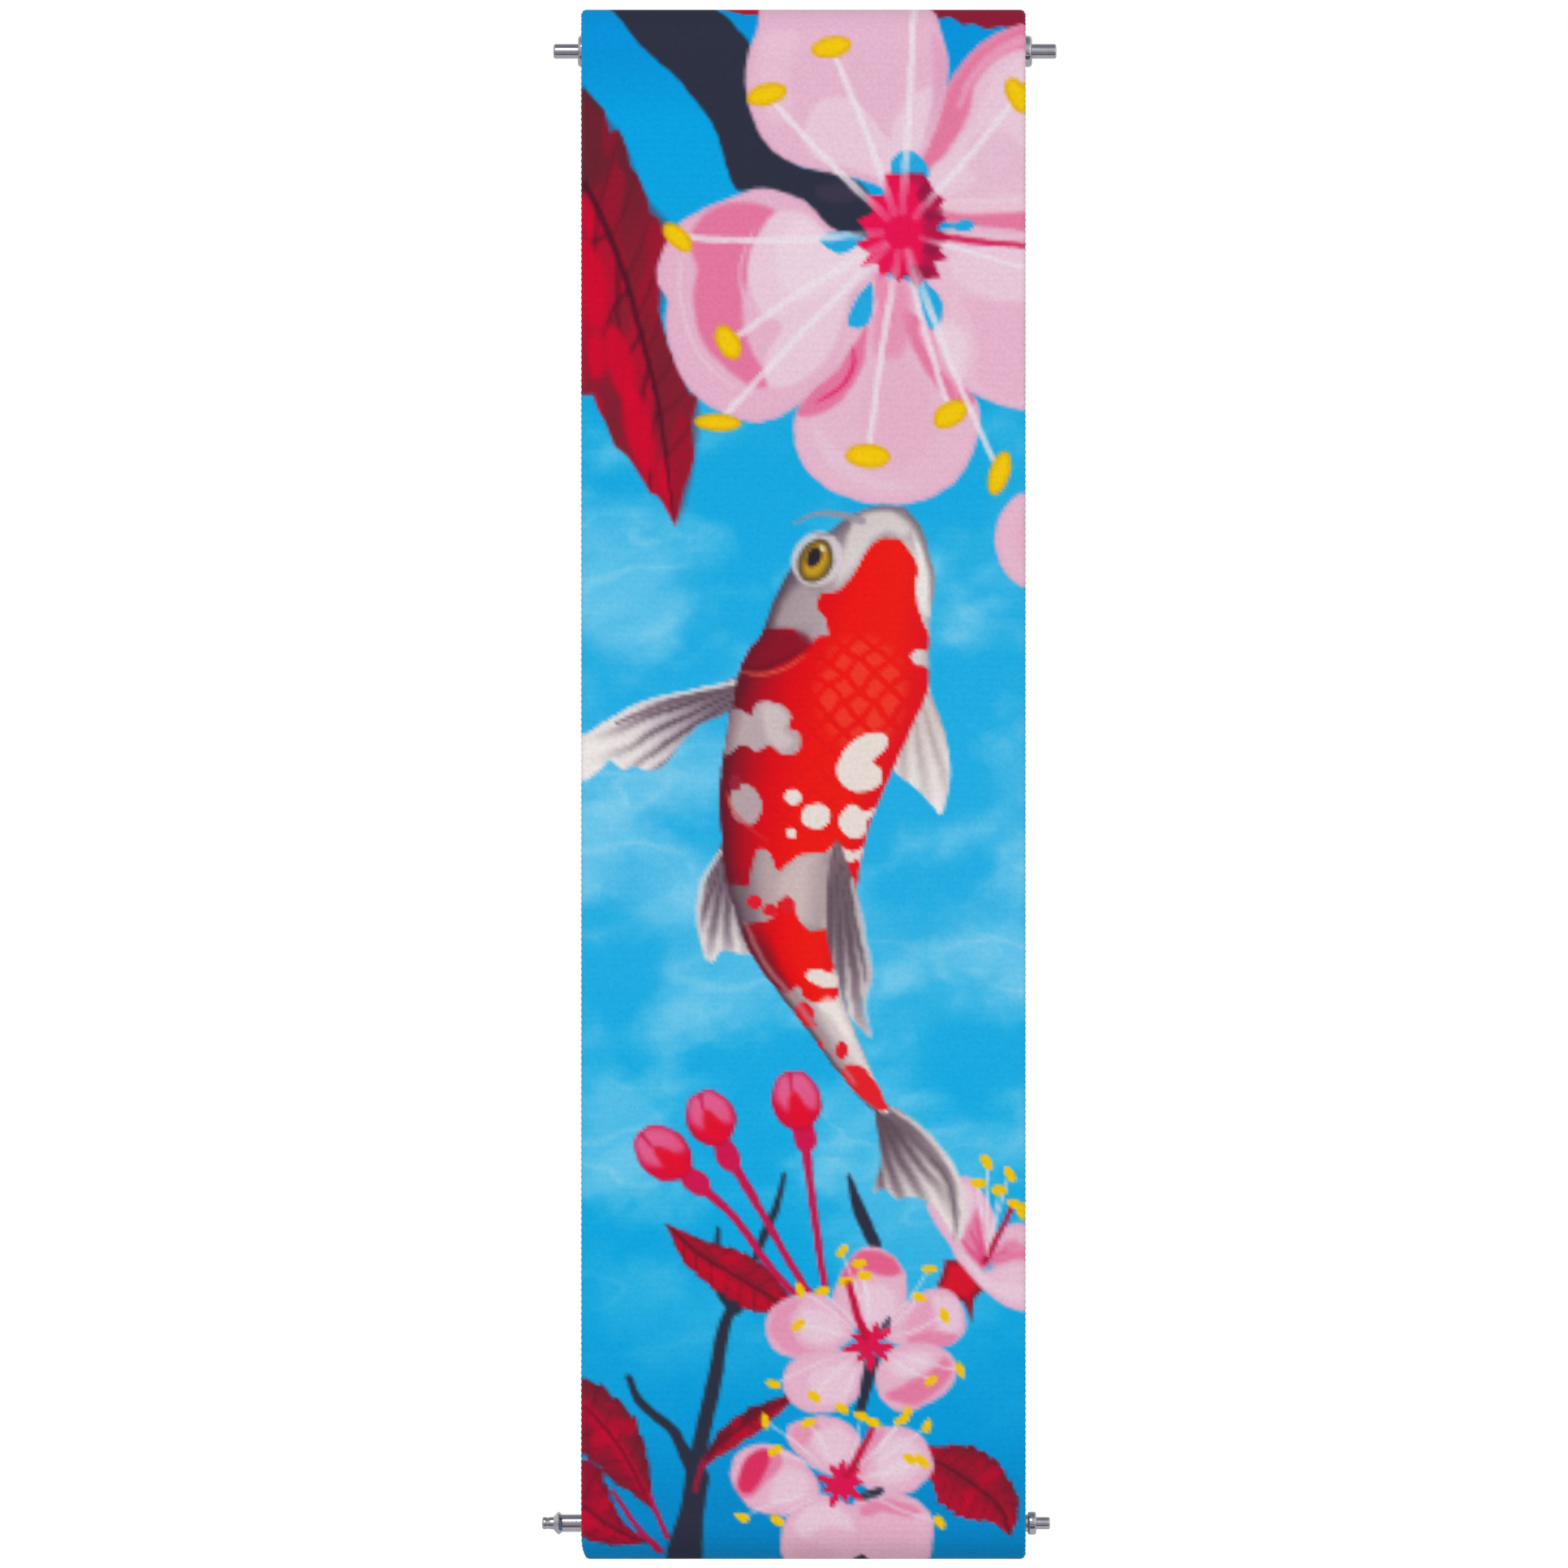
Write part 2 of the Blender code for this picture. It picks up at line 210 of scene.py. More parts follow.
# %% [markdown]
# ## The strap's path
# Seen from the side, the webbing runs up a short tail, round the upper bar, down the front, round the lower
# bar and up the other tail. The path is laid as straight runs and bends, as one would bend it over the bars.
# Each row of the mesh knows two distances: along the middle of the webbing, and along its printed face,
# which is longer round a bar. The printed distance is counted from the height of the upper bar.
# %% Webbing sizes
WIDTH = 25.4
THICK = 1.0
FRONT = 84.3
TAIL = 6.0
UPPER_FOLD = 1.88
LOWER_FOLD = 1.55
TAIL_BEND = 1.5
UPPER_SLOPE = 2.079
LOWER_SLOPE = 1.282
print("webbing", WIDTH, "mm wide and", THICK, "mm thick")
# %% Lay the path
runs = [
    ("straight", TAIL, 0.5),
    ("bend", TAIL_BEND, -45, 0.3),
    ("straight", UPPER_SLOPE, 0.5),
    ("bend", UPPER_FOLD, 225, 0.2),
    ("straight", FRONT, 0.171),
    ("bend", LOWER_FOLD, 225, 0.2),
    ("straight", LOWER_SLOPE, 0.5),
    ("bend", TAIL_BEND, -45, 0.3),
    ("straight", TAIL, 0.5),
]
spots, middles, printed = [(0.0, 0.0)], [0.0], [0.0]
heading = 90.0
for kind, size, *rest in runs:
    step = rest[-1]
    turn = rest[0] if kind == "bend" else 0
    length = size * math.radians(abs(turn)) if turn else size
    outer = (size + math.copysign(THICK / 2, turn)) / size if turn else 1
    count = math.ceil(length * outer / step)
    if turn == 0 and size == FRONT:
        front_row = len(spots) - 1
    for i in range(count):
        chord = length / count
        if turn:
            chord = 2 * size * math.sin(math.radians(abs(turn)) / count / 2)
        heading += turn / count / 2
        y, z = spots[-1]
        a = math.radians(heading)
        spots.append((y + chord * math.cos(a), z + chord * math.sin(a)))
        heading += turn / count / 2
        middles.append(middles[-1] + length / count)
        printed.append(printed[-1] + length * outer / count)
shift = np.array([PRINTED_FACE + THICK / 2, 0]) - spots[front_row]
spots = np.array(spots) + shift
middles = np.array(middles)
down = np.array(printed) - printed[front_row]
print(len(spots), "rows; webbing", round(middles[-1], 2), "mm long; print from", down[0].round(2), "to",
    down[-1].round(2))
# %% The path as a curve
def polyline(name, points):
    """A curve object with straight steps through points in millimetres."""
    curve = bpy.data.curves.new(name, "CURVE")
    curve.dimensions = "3D"
    spline = curve.splines.new("POLY")
    spline.points.add(len(points) - 1)
    flat = np.column_stack([np.array(points, float) * MM, np.ones(len(points))])
    spline.points.foreach_set("co", flat.ravel())
    made = bpy.data.objects.new(name, curve)
    scene.collection.objects.link(made)
    return made

strap_path = polyline("strap_path", [(0, y, z) for y, z in spots])
print("path of", len(strap_path.data.splines[0].points), "points")

# %% [markdown]
# ## The webbing, cut flat
# The strap starts as it does at the cutter: a flat closed band with rounded selvedges, as long as the path.
# Its face has small squares, because the print is stored in its corners. The back needs only a few strips.
# %% One cross-section
ROUNDING = 0.24
FACE_STRIPS = 142
face_x = np.linspace(-WIDTH / 2 + ROUNDING, WIDTH / 2 - ROUNDING, FACE_STRIPS + 1)
half = THICK / 2
edge = [(ROUNDING * math.sin(a), ROUNDING * (math.cos(a) - 1)) for a in (math.pi / 4, math.pi / 2)]
right = [(face_x[-1] + x, half + z) for x, z in edge]
right += [(x, -z) for x, z in reversed(right)]
back_x = np.linspace(face_x[-1], face_x[0], 7)
section = [(x, half) for x in face_x] + right + [(x, -half) for x in back_x]
section += [(-x, z) for x, z in reversed(right)]
section = np.array(section)
print(len(section), "points round the webbing")
# %% The flat band
rows, around = len(middles), len(section)
across = np.tile(section[:, 0], (rows, 1))
DRAWN_IN = 0.2
near_bar = np.exp(-(((down - FRONT - 3.2) / 1.3) ** 2))
across = np.where(across < 0, across * (1 - DRAWN_IN / 12.7 * near_bar[:, None]), across)
band = np.stack([across, np.repeat(middles[:, None], around, 1), np.tile(section[:, 1], (rows, 1))], -1)
i = np.arange(rows - 1)[:, None] * around
j = np.arange(around)[None, :]
k = (j + 1) % around
quads = np.stack([i + j, i + k, i + k + around, i + j + around], -1).reshape(-1, 4)
first_cap = list(range(around - 1, -1, -1))
last_cap = [(rows - 1) * around + n for n in range(around)]
strap_mesh = bpy.data.meshes.new("printed_webbing")
strap_mesh.from_pydata((band.reshape(-1, 3) * MM).tolist(), [], quads.tolist() + [first_cap, last_cap])
print("triangles:", len(quads) * 2 + 2 * (around - 2))

# %% [markdown]
# ## Painting tools
# The picture is dyed into the webbing: paper printed with the picture is pressed on it hot. Here it is
# painted with shapes in millimetres, across from the middle and down from the upper bar. Each shape gives its
# distance to each corner of the mesh, so its edge can be as soft as dye is on woven yarn.
# %% The painted face
face_rows, face_cols = down, face_x
PX, PD = np.meshgrid(face_cols, face_rows)
picture = np.zeros((*PX.shape, 3))
print("face of", PX.shape[1], "by", PX.shape[0], "dots")
# %% Cloudy numbers
def cloud(x, d, size, seed):
    """Smooth random numbers from 0 to 1, in blotches of that size."""
    table = np.random.default_rng(seed).random((64, 64))
    u, v = x / size + 500, d / size + 500
    i, j = np.floor(u).astype(int), np.floor(v).astype(int)
    f, g = u - i, v - j
    f, g = f * f * (3 - 2 * f), g * g * (3 - 2 * g)
    a, b = table[i % 64, j % 64], table[(i + 1) % 64, j % 64]
    c, e = table[i % 64, (j + 1) % 64], table[(i + 1) % 64, (j + 1) % 64]
    return (a * (1 - f) + b * f) * (1 - g) + (c * (1 - f) + e * f) * g

def clouds(x, d, size, seed, layers=4):
    """Several sizes of cloud on each other."""
    total = sum(cloud(x, d, size / 2**n, seed + n) / 2**n for n in range(layers))
    return total / sum(1 / 2**n for n in range(layers))

print("a cloud at 0, 0:", clouds(0.0, 0.0, 8, 41).round(3))
# %% Dye wanders into the yarns
PX = PX + 0.12 * (clouds(PX, PD, 0.5, 11, 2) - 0.5)
PD = PD + 0.12 * (clouds(PX, PD, 0.5, 21, 2) - 0.5)
print("dye wanders up to", 0.06, "mm")
# %% Steps and mixes
def rise(value, low, high):
    """0 below low, 1 above high, and smooth between."""
    t = np.clip((value - low) / (high - low), 0, 1)
    return t * t * (3 - 2 * t)

def mixed(a, b, t):
    """Colour a where t is 0 and b where it is 1. Colours are hex codes or arrays."""
    a, b = (code(c) if isinstance(c, str) else c for c in (a, b))
    return a + (b - a) * np.asarray(t)[..., None]

def blended(stops, t):
    """The colour at t along stops of (place, hex)."""
    places = [s[0] for s in stops]
    colours = np.array([code(s[1]) for s in stops])
    return np.stack([np.interp(t, places, colours[:, n]) for n in range(3)], -1)

print("half of black and white:", mixed("#000000", "#FFFFFF", 0.5))
# %% Lines
def smooth(points, closed=False, steps=6):
    """A flowing line through the points."""
    p = np.array(points, float)
    if closed:
        p = np.vstack([p[-1], p, p[0], p[1]])
    else:
        p = np.vstack([2 * p[0] - p[1], p, 2 * p[-1] - p[-2]])
    t = np.linspace(0, 1, steps, endpoint=False)[:, None]
    parts = []
    for a, b, c, e in zip(p, p[1:], p[2:], p[3:]):
        bend = 2 * b + (c - a) * t + (2 * a - 5 * b + 4 * c - e) * t**2 + (3 * b - a - 3 * c + e) * t**3
        parts.append(bend / 2)
    if not closed:
        parts.append(p[-2:-1])
    return np.vstack(parts)

print("a line of 3 points is drawn with", len(smooth([(0, 0), (1, 1), (2, 0)])))
# %% Where the paint can fall
def window(low, high, margin):
    """The part of the face round a shape, as two slices."""
    r = slice(*np.searchsorted(face_rows, (low[1] - margin, high[1] + margin)))
    c = slice(*np.searchsorted(face_cols, (low[0] - margin, high[0] + margin)))
    return r, c

def lay(area, colour, cover):
    """Colour on the picture in that area, as much as cover says."""
    if cover.size:
        old = picture[area]
        picture[area] = mixed(old, colour, np.clip(cover, 0, 1))
# %% Distances
def to_line(line, x, d):
    """For each place: the distance to a line, how far along it (0 to 1), and which side (+1 right)."""
    a, b = line[:-1], line[1:]
    run = b - a
    long2 = np.maximum((run**2).sum(1), 1e-12)
    lengths = np.sqrt(long2)
    starts = np.concatenate([[0], np.cumsum(lengths)])
    q = np.stack([x.ravel(), d.ravel()], 1)
    best = np.full(len(q), 1e9)
    along, side = np.zeros(len(q)), np.ones(len(q))
    for n in range(len(a)):
        rel = q - a[n]
        t = np.clip(rel @ run[n] / long2[n], 0, 1)
        off = rel - t[:, None] * run[n]
        far = (off**2).sum(1)
        nearer = far < best
        best = np.where(nearer, far, best)
        along = np.where(nearer, (starts[n] + t * lengths[n]) / starts[-1], along)
        turn = np.sign(run[n][0] * rel[:, 1] - run[n][1] * rel[:, 0])
        side = np.where(nearer, -turn, side)
    return [v.reshape(x.shape) for v in (np.sqrt(best), along, side)]

def depth(line, x, d):
    """How deep each place lies inside a closed line: negative outside."""
    ring = np.vstack([line, line[:1]])
    far = to_line(ring, x, d)[0]
    inside = np.zeros(x.shape, bool)
    for (ax, ad), (bx, bd) in zip(ring, ring[1:]):
        if ad != bd:
            inside ^= ((ad > d) != (bd > d)) & (x < (bx - ax) * (d - ad) / (bd - ad) + ax)
    return np.where(inside, far, -far)
# %% Shapes
EDGE = 0.24

def fill(line, colour, soft=EDGE, amount=1.0, shade=None, round_it=True):
    """Paints a closed shape. shade(x, d, deep) gives its colour from the place, if it isn't one colour."""
    ring = smooth(line, True) if round_it else np.array(line, float)
    area = window(ring.min(0), ring.max(0), soft)
    x, d = PX[area], PD[area]
    if not x.size:
        return
    deep = depth(ring, x, d)
    paint = shade(x, d, deep) if shade else colour
    lay(area, paint, amount * rise(deep, -soft / 2, soft / 2))

def stroke(points, widths, colour, soft=EDGE, amount=1.0, shade=None, fade=0.0):
    """Paints a line whose width changes along it. fade is the share of it over which it comes up."""
    line = smooth(points)
    area = window(line.min(0), line.max(0), max(widths) + soft)
    x, d = PX[area], PD[area]
    if not x.size:
        return
    far, along, side = to_line(line, x, d)
    width = np.interp(along, np.linspace(0, 1, len(widths)), widths)
    paint = shade(along, far * side / np.maximum(width / 2, 1e-6)) if shade else colour
    start = 0.3 + 0.7 * rise(along, 0, fade) if fade else 1.0
    lay(area, paint, amount * start * rise(width / 2 - far, -soft / 2, soft / 2))

def oval(centre, long, wide, tilt=0.0, count=16):
    """The outline of an oval. tilt turns its long side from level, clockwise, in degrees."""
    a = np.linspace(0, 2 * math.pi, count, endpoint=False)
    c, s = math.cos(math.radians(tilt)), math.sin(math.radians(tilt))
    u, v = long / 2 * np.cos(a), wide / 2 * np.sin(a)
    return np.stack([centre[0] + u * c - v * s, centre[1] + u * s + v * c], 1)

# %% [markdown]
# ## Printed picture: water
# The ground is pond water: clear blue at the top, pale and cloudy where light breaks on it in the middle, and
# deeper at the bottom. Two bent cloud patterns make the ripples, and thin pale lines lie where they meet.
# %% Water
deeps = [(-18, "#0090D6"), (0, "#0092D9"), (4, "#00A1E3"), (20, "#12A8DF"), (34, "#32B2E4"),
    (48, "#40B6E6"), (60, "#22B0E4")]
deeps += [(72, "#06A5DF"), (79, "#0099DA"), (83, "#0089CA"), (90, "#0080C2"), (101, "#0088CC")]
picture[:] = blended(deeps, PD)
bent = PX + 5 * clouds(PX, PD, 7, 31, 3)
light = clouds(bent, PD * 1.5 + 4 * clouds(PX, PD, 9, 35, 2), 8, 41, 6)
fine = clouds(PX + 3 * clouds(PX, PD, 3, 55, 2), PD * 1.3 + 0.5 * PX, 3.0, 51, 5)
middle = rise(PD, 12, 30) * (1 - rise(PD, 58, 82))
picture[:] = mixed(picture, "#00A4E3", 0.45 * middle * rise(light, 0.5, 0.32))
picture[:] = mixed(picture, "#78CBEF", 0.62 * middle * rise(light + 0.5 * (fine - 0.5), 0.34, 0.7))
picture[:] = mixed(picture, "#B0E0F3", 0.3 * middle * rise(fine, 0.5, 0.85) * rise(light, 0.4, 0.6))
veins = 1 - np.abs(2 * clouds(bent * 0.8, PD * 1.9, 5, 61, 3) - 1)
picture[:] = mixed(picture, "#CFE8F2", 0.2 * middle * rise(veins, 0.86, 1.0) * rise(light, 0.42, 0.6))
print("water painted")

# %% [markdown]
# ## Printed picture: branch and big leaf
# A dark branch comes in over the top. A crimson leaf with a sawn edge hangs in from the left; its outline and
# side veins are listed point by point. The rule for the smaller leaves further down is set out here too:
# their teeth follow the edge, and their side veins run from the middle rib to the teeth, so both are made by
# one rule.
# %% Branch
BARK = "#2C3042"
fill([(-11.6, -7.0), (-11.1, -3.6), (-10.0, -1.2), (-8.8, 0.2), (-7.4, 1.4), (-6.4, 2.6), (-5.2, 4.2),
    (-4.6, 5.9), (-3.9, 7.9), (-2.6, 8.1), (-0.7, 9.3), (0.9, 10.6), (3.3, 10.7), (4.6, 10.1), (3.5, 7.9),
    (1.9, 7.0), (-0.2, 6.6), (-1.9, 5.0), (-2.9, 2.7), (-3.0, -0.1), (-3.9, -1.5), (-5.1, -3.6),
    (-5.7, -7.0)], BARK)
fill([(0.7, 7.9), (1.9, 7.6), (3.3, 7.8), (3.6, 8.3), (2.3, 8.7), (1.0, 8.5)], "#453A4E", soft=0.5,
    amount=0.6)

print("branch painted")
# %% Leaf by rule
def leaf(spine, widths, teeth, tones, rib="#5A1426", bite=0.11, lean=0.5):
    """A leaf along its spine. tones are its colours from one side, over the rib, to the other."""
    line = smooth(spine)
    widest = max(max(w) for w in widths)
    area = window(line.min(0), line.max(0), widest + 0.5)
    x, d = PX[area], PD[area]
    far, along, side = to_line(line, x, d)
    stations = np.linspace(0, 1, len(widths))
    half = np.where(
        side > 0,
        np.interp(along, stations, [w[1] for w in widths]),
        np.interp(along, stations, [w[0] for w in widths]),
    )
    saw = (along * teeth + 0.15 * side) % 1
    half = half * (1 - bite * saw)
    off = far * side / np.maximum(half, 0.05)
    paint = blended(tones, off)
    vein = np.abs((along * teeth - lean * np.abs(off) * 1.4) % 1 - 0.5)
    paint = mixed(paint, rib, 0.35 * rise(vein, 0.16, 0.02) * rise(np.abs(off), 0.02, 0.2))
    glow = clouds(along * 9 - np.abs(off), off * 2, 1.3, 77, 2)
    paint = mixed(paint, "#D0062F", 0.55 * rise(glow, 0.48, 0.75))
    paint = mixed(paint, rib, 0.6 * rise(far, 0.16, 0.04))
    lay(area, paint, rise(half - far, -EDGE / 2, EDGE / 2))
# %% Hanging leaf
fill([(-13.9, 0.8), (-12.7, 1.9), (-11.4, 3.4), (-11.1, 4.7), (-10.6, 4.5), (-10.1, 5.6), (-9.9, 6.6),
    (-9.5, 7.1), (-9.0, 8.3), (-8.8, 9.3), (-8.3, 9.6), (-7.8, 10.6), (-7.2, 11.0), (-8.1, 12.9),
    (-8.3, 14.8), (-7.8, 16.6), (-7.1, 18.2), (-6.6, 19.6), (-6.0, 19.8), (-6.4, 21.3), (-6.2, 23.4),
    (-6.8, 25.0), (-7.3, 27.2), (-8.3, 25.5), (-8.8, 25.3), (-9.5, 24.0), (-10.1, 23.2), (-10.8, 22.6),
    (-11.2, 21.6), (-11.7, 20.6), (-12.0, 19.7), (-12.7, 19.7), (-13.9, 19.7)],
     "#7A1C30", round_it=False, shade=lambda x, d, deep: mixed(
         blended([(2, "#5E2430"), (7, "#62202F"), (11, "#8C1A30"), (16, "#901A30"), (20, "#7E1E30"),
             (27, "#A0182F")], d + 1.2 * x + 12),
         "#C00A2E", 0.75 * rise(clouds(x * 1.6 + 0.5 * d, d * 0.45 - 0.7 * x, 2.2, 85, 2), 0.44, 0.62)
         * rise(d - 1.1 * x, 14, 19)))
rib = smooth([(-13.4, 5.9), (-11.8, 9.0), (-10.4, 12.4), (-9.3, 16.2), (-8.3, 20.3), (-7.3, 27.2)])
for start, end in [((-11.8, 9.0), (-11.8, 14.1)), ((-10.6, 12.1), (-10.3, 18.9)),
    ((-11.2, 10.5), (-12.7, 12.4)), ((-10.0, 13.6), (-11.5, 16.6)), ((-9.3, 16.2), (-10.4, 19.4)),
    ((-8.8, 18.0), (-9.5, 23.1)), ((-8.3, 20.3), (-8.8, 25.0))]:
    stroke([start, ((start[0] + end[0]) / 2 - 0.15, (start[1] + end[1]) / 2 - 0.3), end],
        [0.28, 0.22, 0.1], "#571327", amount=0.7)
for start, end in [((-11.8, 9.0), (-10.7, 5.2)), ((-11.1, 11.0), (-9.6, 7.1)),
    ((-10.2, 13.1), (-8.8, 9.6)), ((-9.5, 15.2), (-8.1, 11.5)), ((-9.0, 17.3), (-8.1, 14.8)),
    ((-8.5, 19.2), (-7.3, 17.1)), ((-8.2, 20.8), (-6.6, 19.4)), ((-7.8, 23.1), (-6.4, 21.3))]:
    stroke([start, ((start[0] + end[0]) / 2 + 0.12, (start[1] + end[1]) / 2), end], [0.26, 0.2, 0.1],
        "#571327", amount=0.6)
fill([(-12.9, 3.1), (-11.8, 9.0), (-10.4, 12.4), (-9.3, 16.2), (-8.3, 20.3), (-7.3, 26.8), (-6.2, 23.4),
    (-6.0, 19.8), (-7.1, 18.2), (-8.3, 15.7), (-7.2, 11.0), (-9.0, 8.3), (-10.7, 4.5)], "#7A1C2F",
    soft=0.5, amount=0.45)
for place, long, wide, tilt in [((-12.1, 13.4), 5.0, 1.6, 82), ((-11.8, 17.5), 2.6, 1.1, 88),
    ((-10.5, 17.9), 4.4, 1.5, 76), ((-9.4, 21.7), 5.0, 1.6, 76), ((-12.4, 9.4), 2.6, 0.8, 80),
    ((-7.9, 24.5), 2.2, 0.7, 80)]:
    fill(oval(place, long, wide, tilt), "#D2052F", soft=0.6, amount=0.9)
stroke([(-13.4, 5.9), (-11.8, 9.0), (-10.4, 12.4), (-9.3, 16.2), (-8.3, 20.3), (-7.4, 26.8)],
    [0.2, 0.34, 0.32, 0.28, 0.22, 0.1], "#4E1126", amount=0.85)
fill([(-5.6, -5.2), (-4.4, -3.3), (-3.0, -2.5), (-1.4, -3.3), (0.0, -5.2), (-2.8, -7.0)], "#B01238", soft=0.2)
fill([(5.9, -7.0), (6.4, -3.3), (7.4, -2.1), (8.4, -2.3), (9.1, -1.6), (9.8, -1.7), (10.5, -1.3),
    (11.4, -1.5), (12.6, -1.0), (14.4, -0.9), (14.4, -7.0)], "#8E1A36", soft=0.2, round_it=False)
print("branch and leaf painted")

# %% [markdown]
# ## Printed picture: the big blossom
# Five round petals overlap round a ragged red star. Each has a pale rim, a deeper pink fold, and a pale lobe
# towards the star. Fine filaments run from the star to yellow anthers, and cross the petals.
# %% Colours of the blossom
RIM = "#E4B2CA"
PALE = "#E7C8DA"
MID = "#E2749D"
HOT = "#E21560"
STAR = (5.6, 10.4)
print("star at", np.round(STAR, 1), "mm")
# %% Petals
def petal(line, base=RIM, lobes=()):
    """A petal and what is painted on it: (outline, colour, softness, amount), kept inside it."""
    ring = smooth(line, True)
    area = window(ring.min(0), ring.max(0), 0.5)
    x, d = PX[area], PD[area]
    if not x.size:
        return
    deep = depth(ring, x, d)
    paint = np.broadcast_to(code(base), (*x.shape, 3))
    paint = mixed(paint, "#DDA4C2", 0.5 * rise(deep, 0.5, 0.0))
    for shape, colour, soft, amount in lobes:
        cover = rise(depth(smooth(shape, True), x, d), -soft / 2, soft / 2)
        paint = mixed(paint, colour, amount * cover)
    lay(area, paint, rise(deep, -EDGE / 2, EDGE / 2))
# %% Right petals, behind
petal([(14.4, -2.3), (12.6, -1.7), (11.0, -1.0), (9.4, 0.3), (8.2, 2.0), (7.4, 4.1), (5.9, 7.8),
    (5.7, 9.3), (7.4, 9.6), (9.8, 10.3), (12.6, 11.0), (14.9, 11.0), (15.8, 3.6)], base="#E2799F",
      lobes=[([(14.4, 0.0), (12.6, -0.1), (11.1, 0.5), (9.9, 1.8), (9.4, 3.8), (8.1, 5.9), (6.7, 7.4),
          (6.5, 8.6), (8.1, 8.7), (10.4, 8.8), (12.6, 8.6), (15.8, 8.3)], "#E5BCD1", 0.4, 1.0),
             ([(14.4, -1.0), (12.6, -0.9), (10.9, -0.1), (9.5, 1.4), (8.8, 3.1), (9.1, 3.2), (9.8, 1.7),
                 (11.1, 0.4), (12.6, -0.3), (14.4, -0.4)], "#E7A5C2", 0.3, 0.7),
             ([(12.6, 0.4), (10.9, 1.5), (10.0, 3.6), (8.6, 5.7), (7.0, 7.4), (8.4, 8.3), (10.4, 7.1),
                 (12.6, 5.5), (14.4, 2.7)], PALE, 0.5, 0.8),
             ([(12.6, 5.9), (11.4, 4.5), (9.8, 4.8), (9.3, 6.4), (10.4, 7.6), (12.6, 7.3)], "#E2B7CE", 0.5,
                 0.7),
             ([(7.0, 8.7), (9.3, 8.5), (12.6, 8.3), (14.4, 8.3), (14.4, 9.1), (11.1, 9.3), (8.8, 9.3)],
                 "#E9C9D8", 0.4, 0.9)])

print("right petals painted")
# %% Bottom petal
petal([(3.3, 15.3), (2.4, 17.0), (1.0, 18.6), (-0.2, 20.2), (-0.6, 21.7), (-0.1, 23.6), (1.3, 25.0),
    (3.3, 25.8), (5.3, 26.0), (7.4, 25.5), (9.0, 24.3), (9.9, 22.4), (10.1, 20.6), (9.5, 19.4),
    (8.5, 18.2), (7.8, 16.2), (7.0, 15.6), (6.3, 13.4), (4.6, 13.1), (4.0, 14.2)],
      base="#E4B6CD",
      lobes=[([(3.5, 15.5), (2.6, 17.2), (1.2, 18.8), (0.0, 20.1), (-0.4, 20.9), (0.9, 20.8), (2.3, 19.9),
          (3.3, 18.2), (3.6, 16.6)], MID, 0.35, 0.97),
             ([(5.7, 15.0), (6.3, 17.1), (7.4, 18.9), (8.7, 20.3), (9.8, 20.1), (9.3, 18.9), (8.3, 17.8),
                 (7.4, 16.2), (6.7, 15.3)], MID, 0.4, 0.9),
             ([(6.5, 15.9), (7.2, 17.5), (8.4, 18.9), (8.8, 19.9), (8.6, 18.6), (7.8, 16.8), (7.2, 15.9)],
                 "#EBA9C4", 0.3, 0.8),
             ([(4.4, 13.4), (4.0, 15.7), (4.2, 17.5), (5.6, 17.5), (6.1, 15.7), (5.9, 13.4)], "#E489AD",
                 0.8, 0.75),
             ([(4.9, 17.5), (3.3, 20.3), (3.9, 23.1), (5.6, 23.8), (7.4, 22.2), (7.0, 18.9)], "#E2AAC5",
                 0.9, 0.5),
             ([(0.5, 21.3), (1.4, 23.6), (3.9, 25.0), (6.5, 25.0), (3.9, 24.3), (1.9, 22.7)], "#E4C3D8",
                 0.7, 0.7)])
stroke([(2.8, 16.8), (2.9, 18.0), (2.1, 19.3), (0.8, 20.1)], [0.1, 0.2, 0.22, 0.1], HOT, amount=0.9)
stroke([(2.6, 17.1), (1.4, 18.6), (0.0, 20.0)], [0.2, 0.4, 0.2], "#D9588A", amount=0.8)
print("bottom petal painted")
# %% Right lower petal
petal([(14.4, 10.3), (12.6, 10.3), (10.9, 10.1), (9.3, 10.1), (7.9, 10.3), (6.9, 11.0), (6.6, 12.4),
    (7.2, 13.5), (7.9, 14.4), (7.8, 15.3), (7.5, 16.2), (7.9, 17.8), (9.0, 19.1), (10.4, 20.0),
    (12.6, 20.6), (14.4, 20.6)],
      base="#E6BCD1",
      lobes=[([(8.4, 11.9), (9.1, 13.4), (10.9, 14.2), (13.2, 14.5), (14.9, 14.5), (14.9, 11.5),
          (10.7, 11.0)], PALE, 0.5, 0.95),
             ([(9.2, 14.2), (9.6, 15.5), (10.0, 17.1), (9.9, 18.9), (11.6, 20.0), (13.0, 19.4),
                 (13.2, 14.8), (10.9, 14.4)], "#E4ACC8", 0.5, 0.6),
             ([(7.6, 15.5), (8.8, 15.8), (9.4, 16.6), (9.3, 18.0), (8.8, 18.8), (7.9, 17.3)], "#EBD4E0",
                 0.8, 0.7)])

print("right lower petal painted")
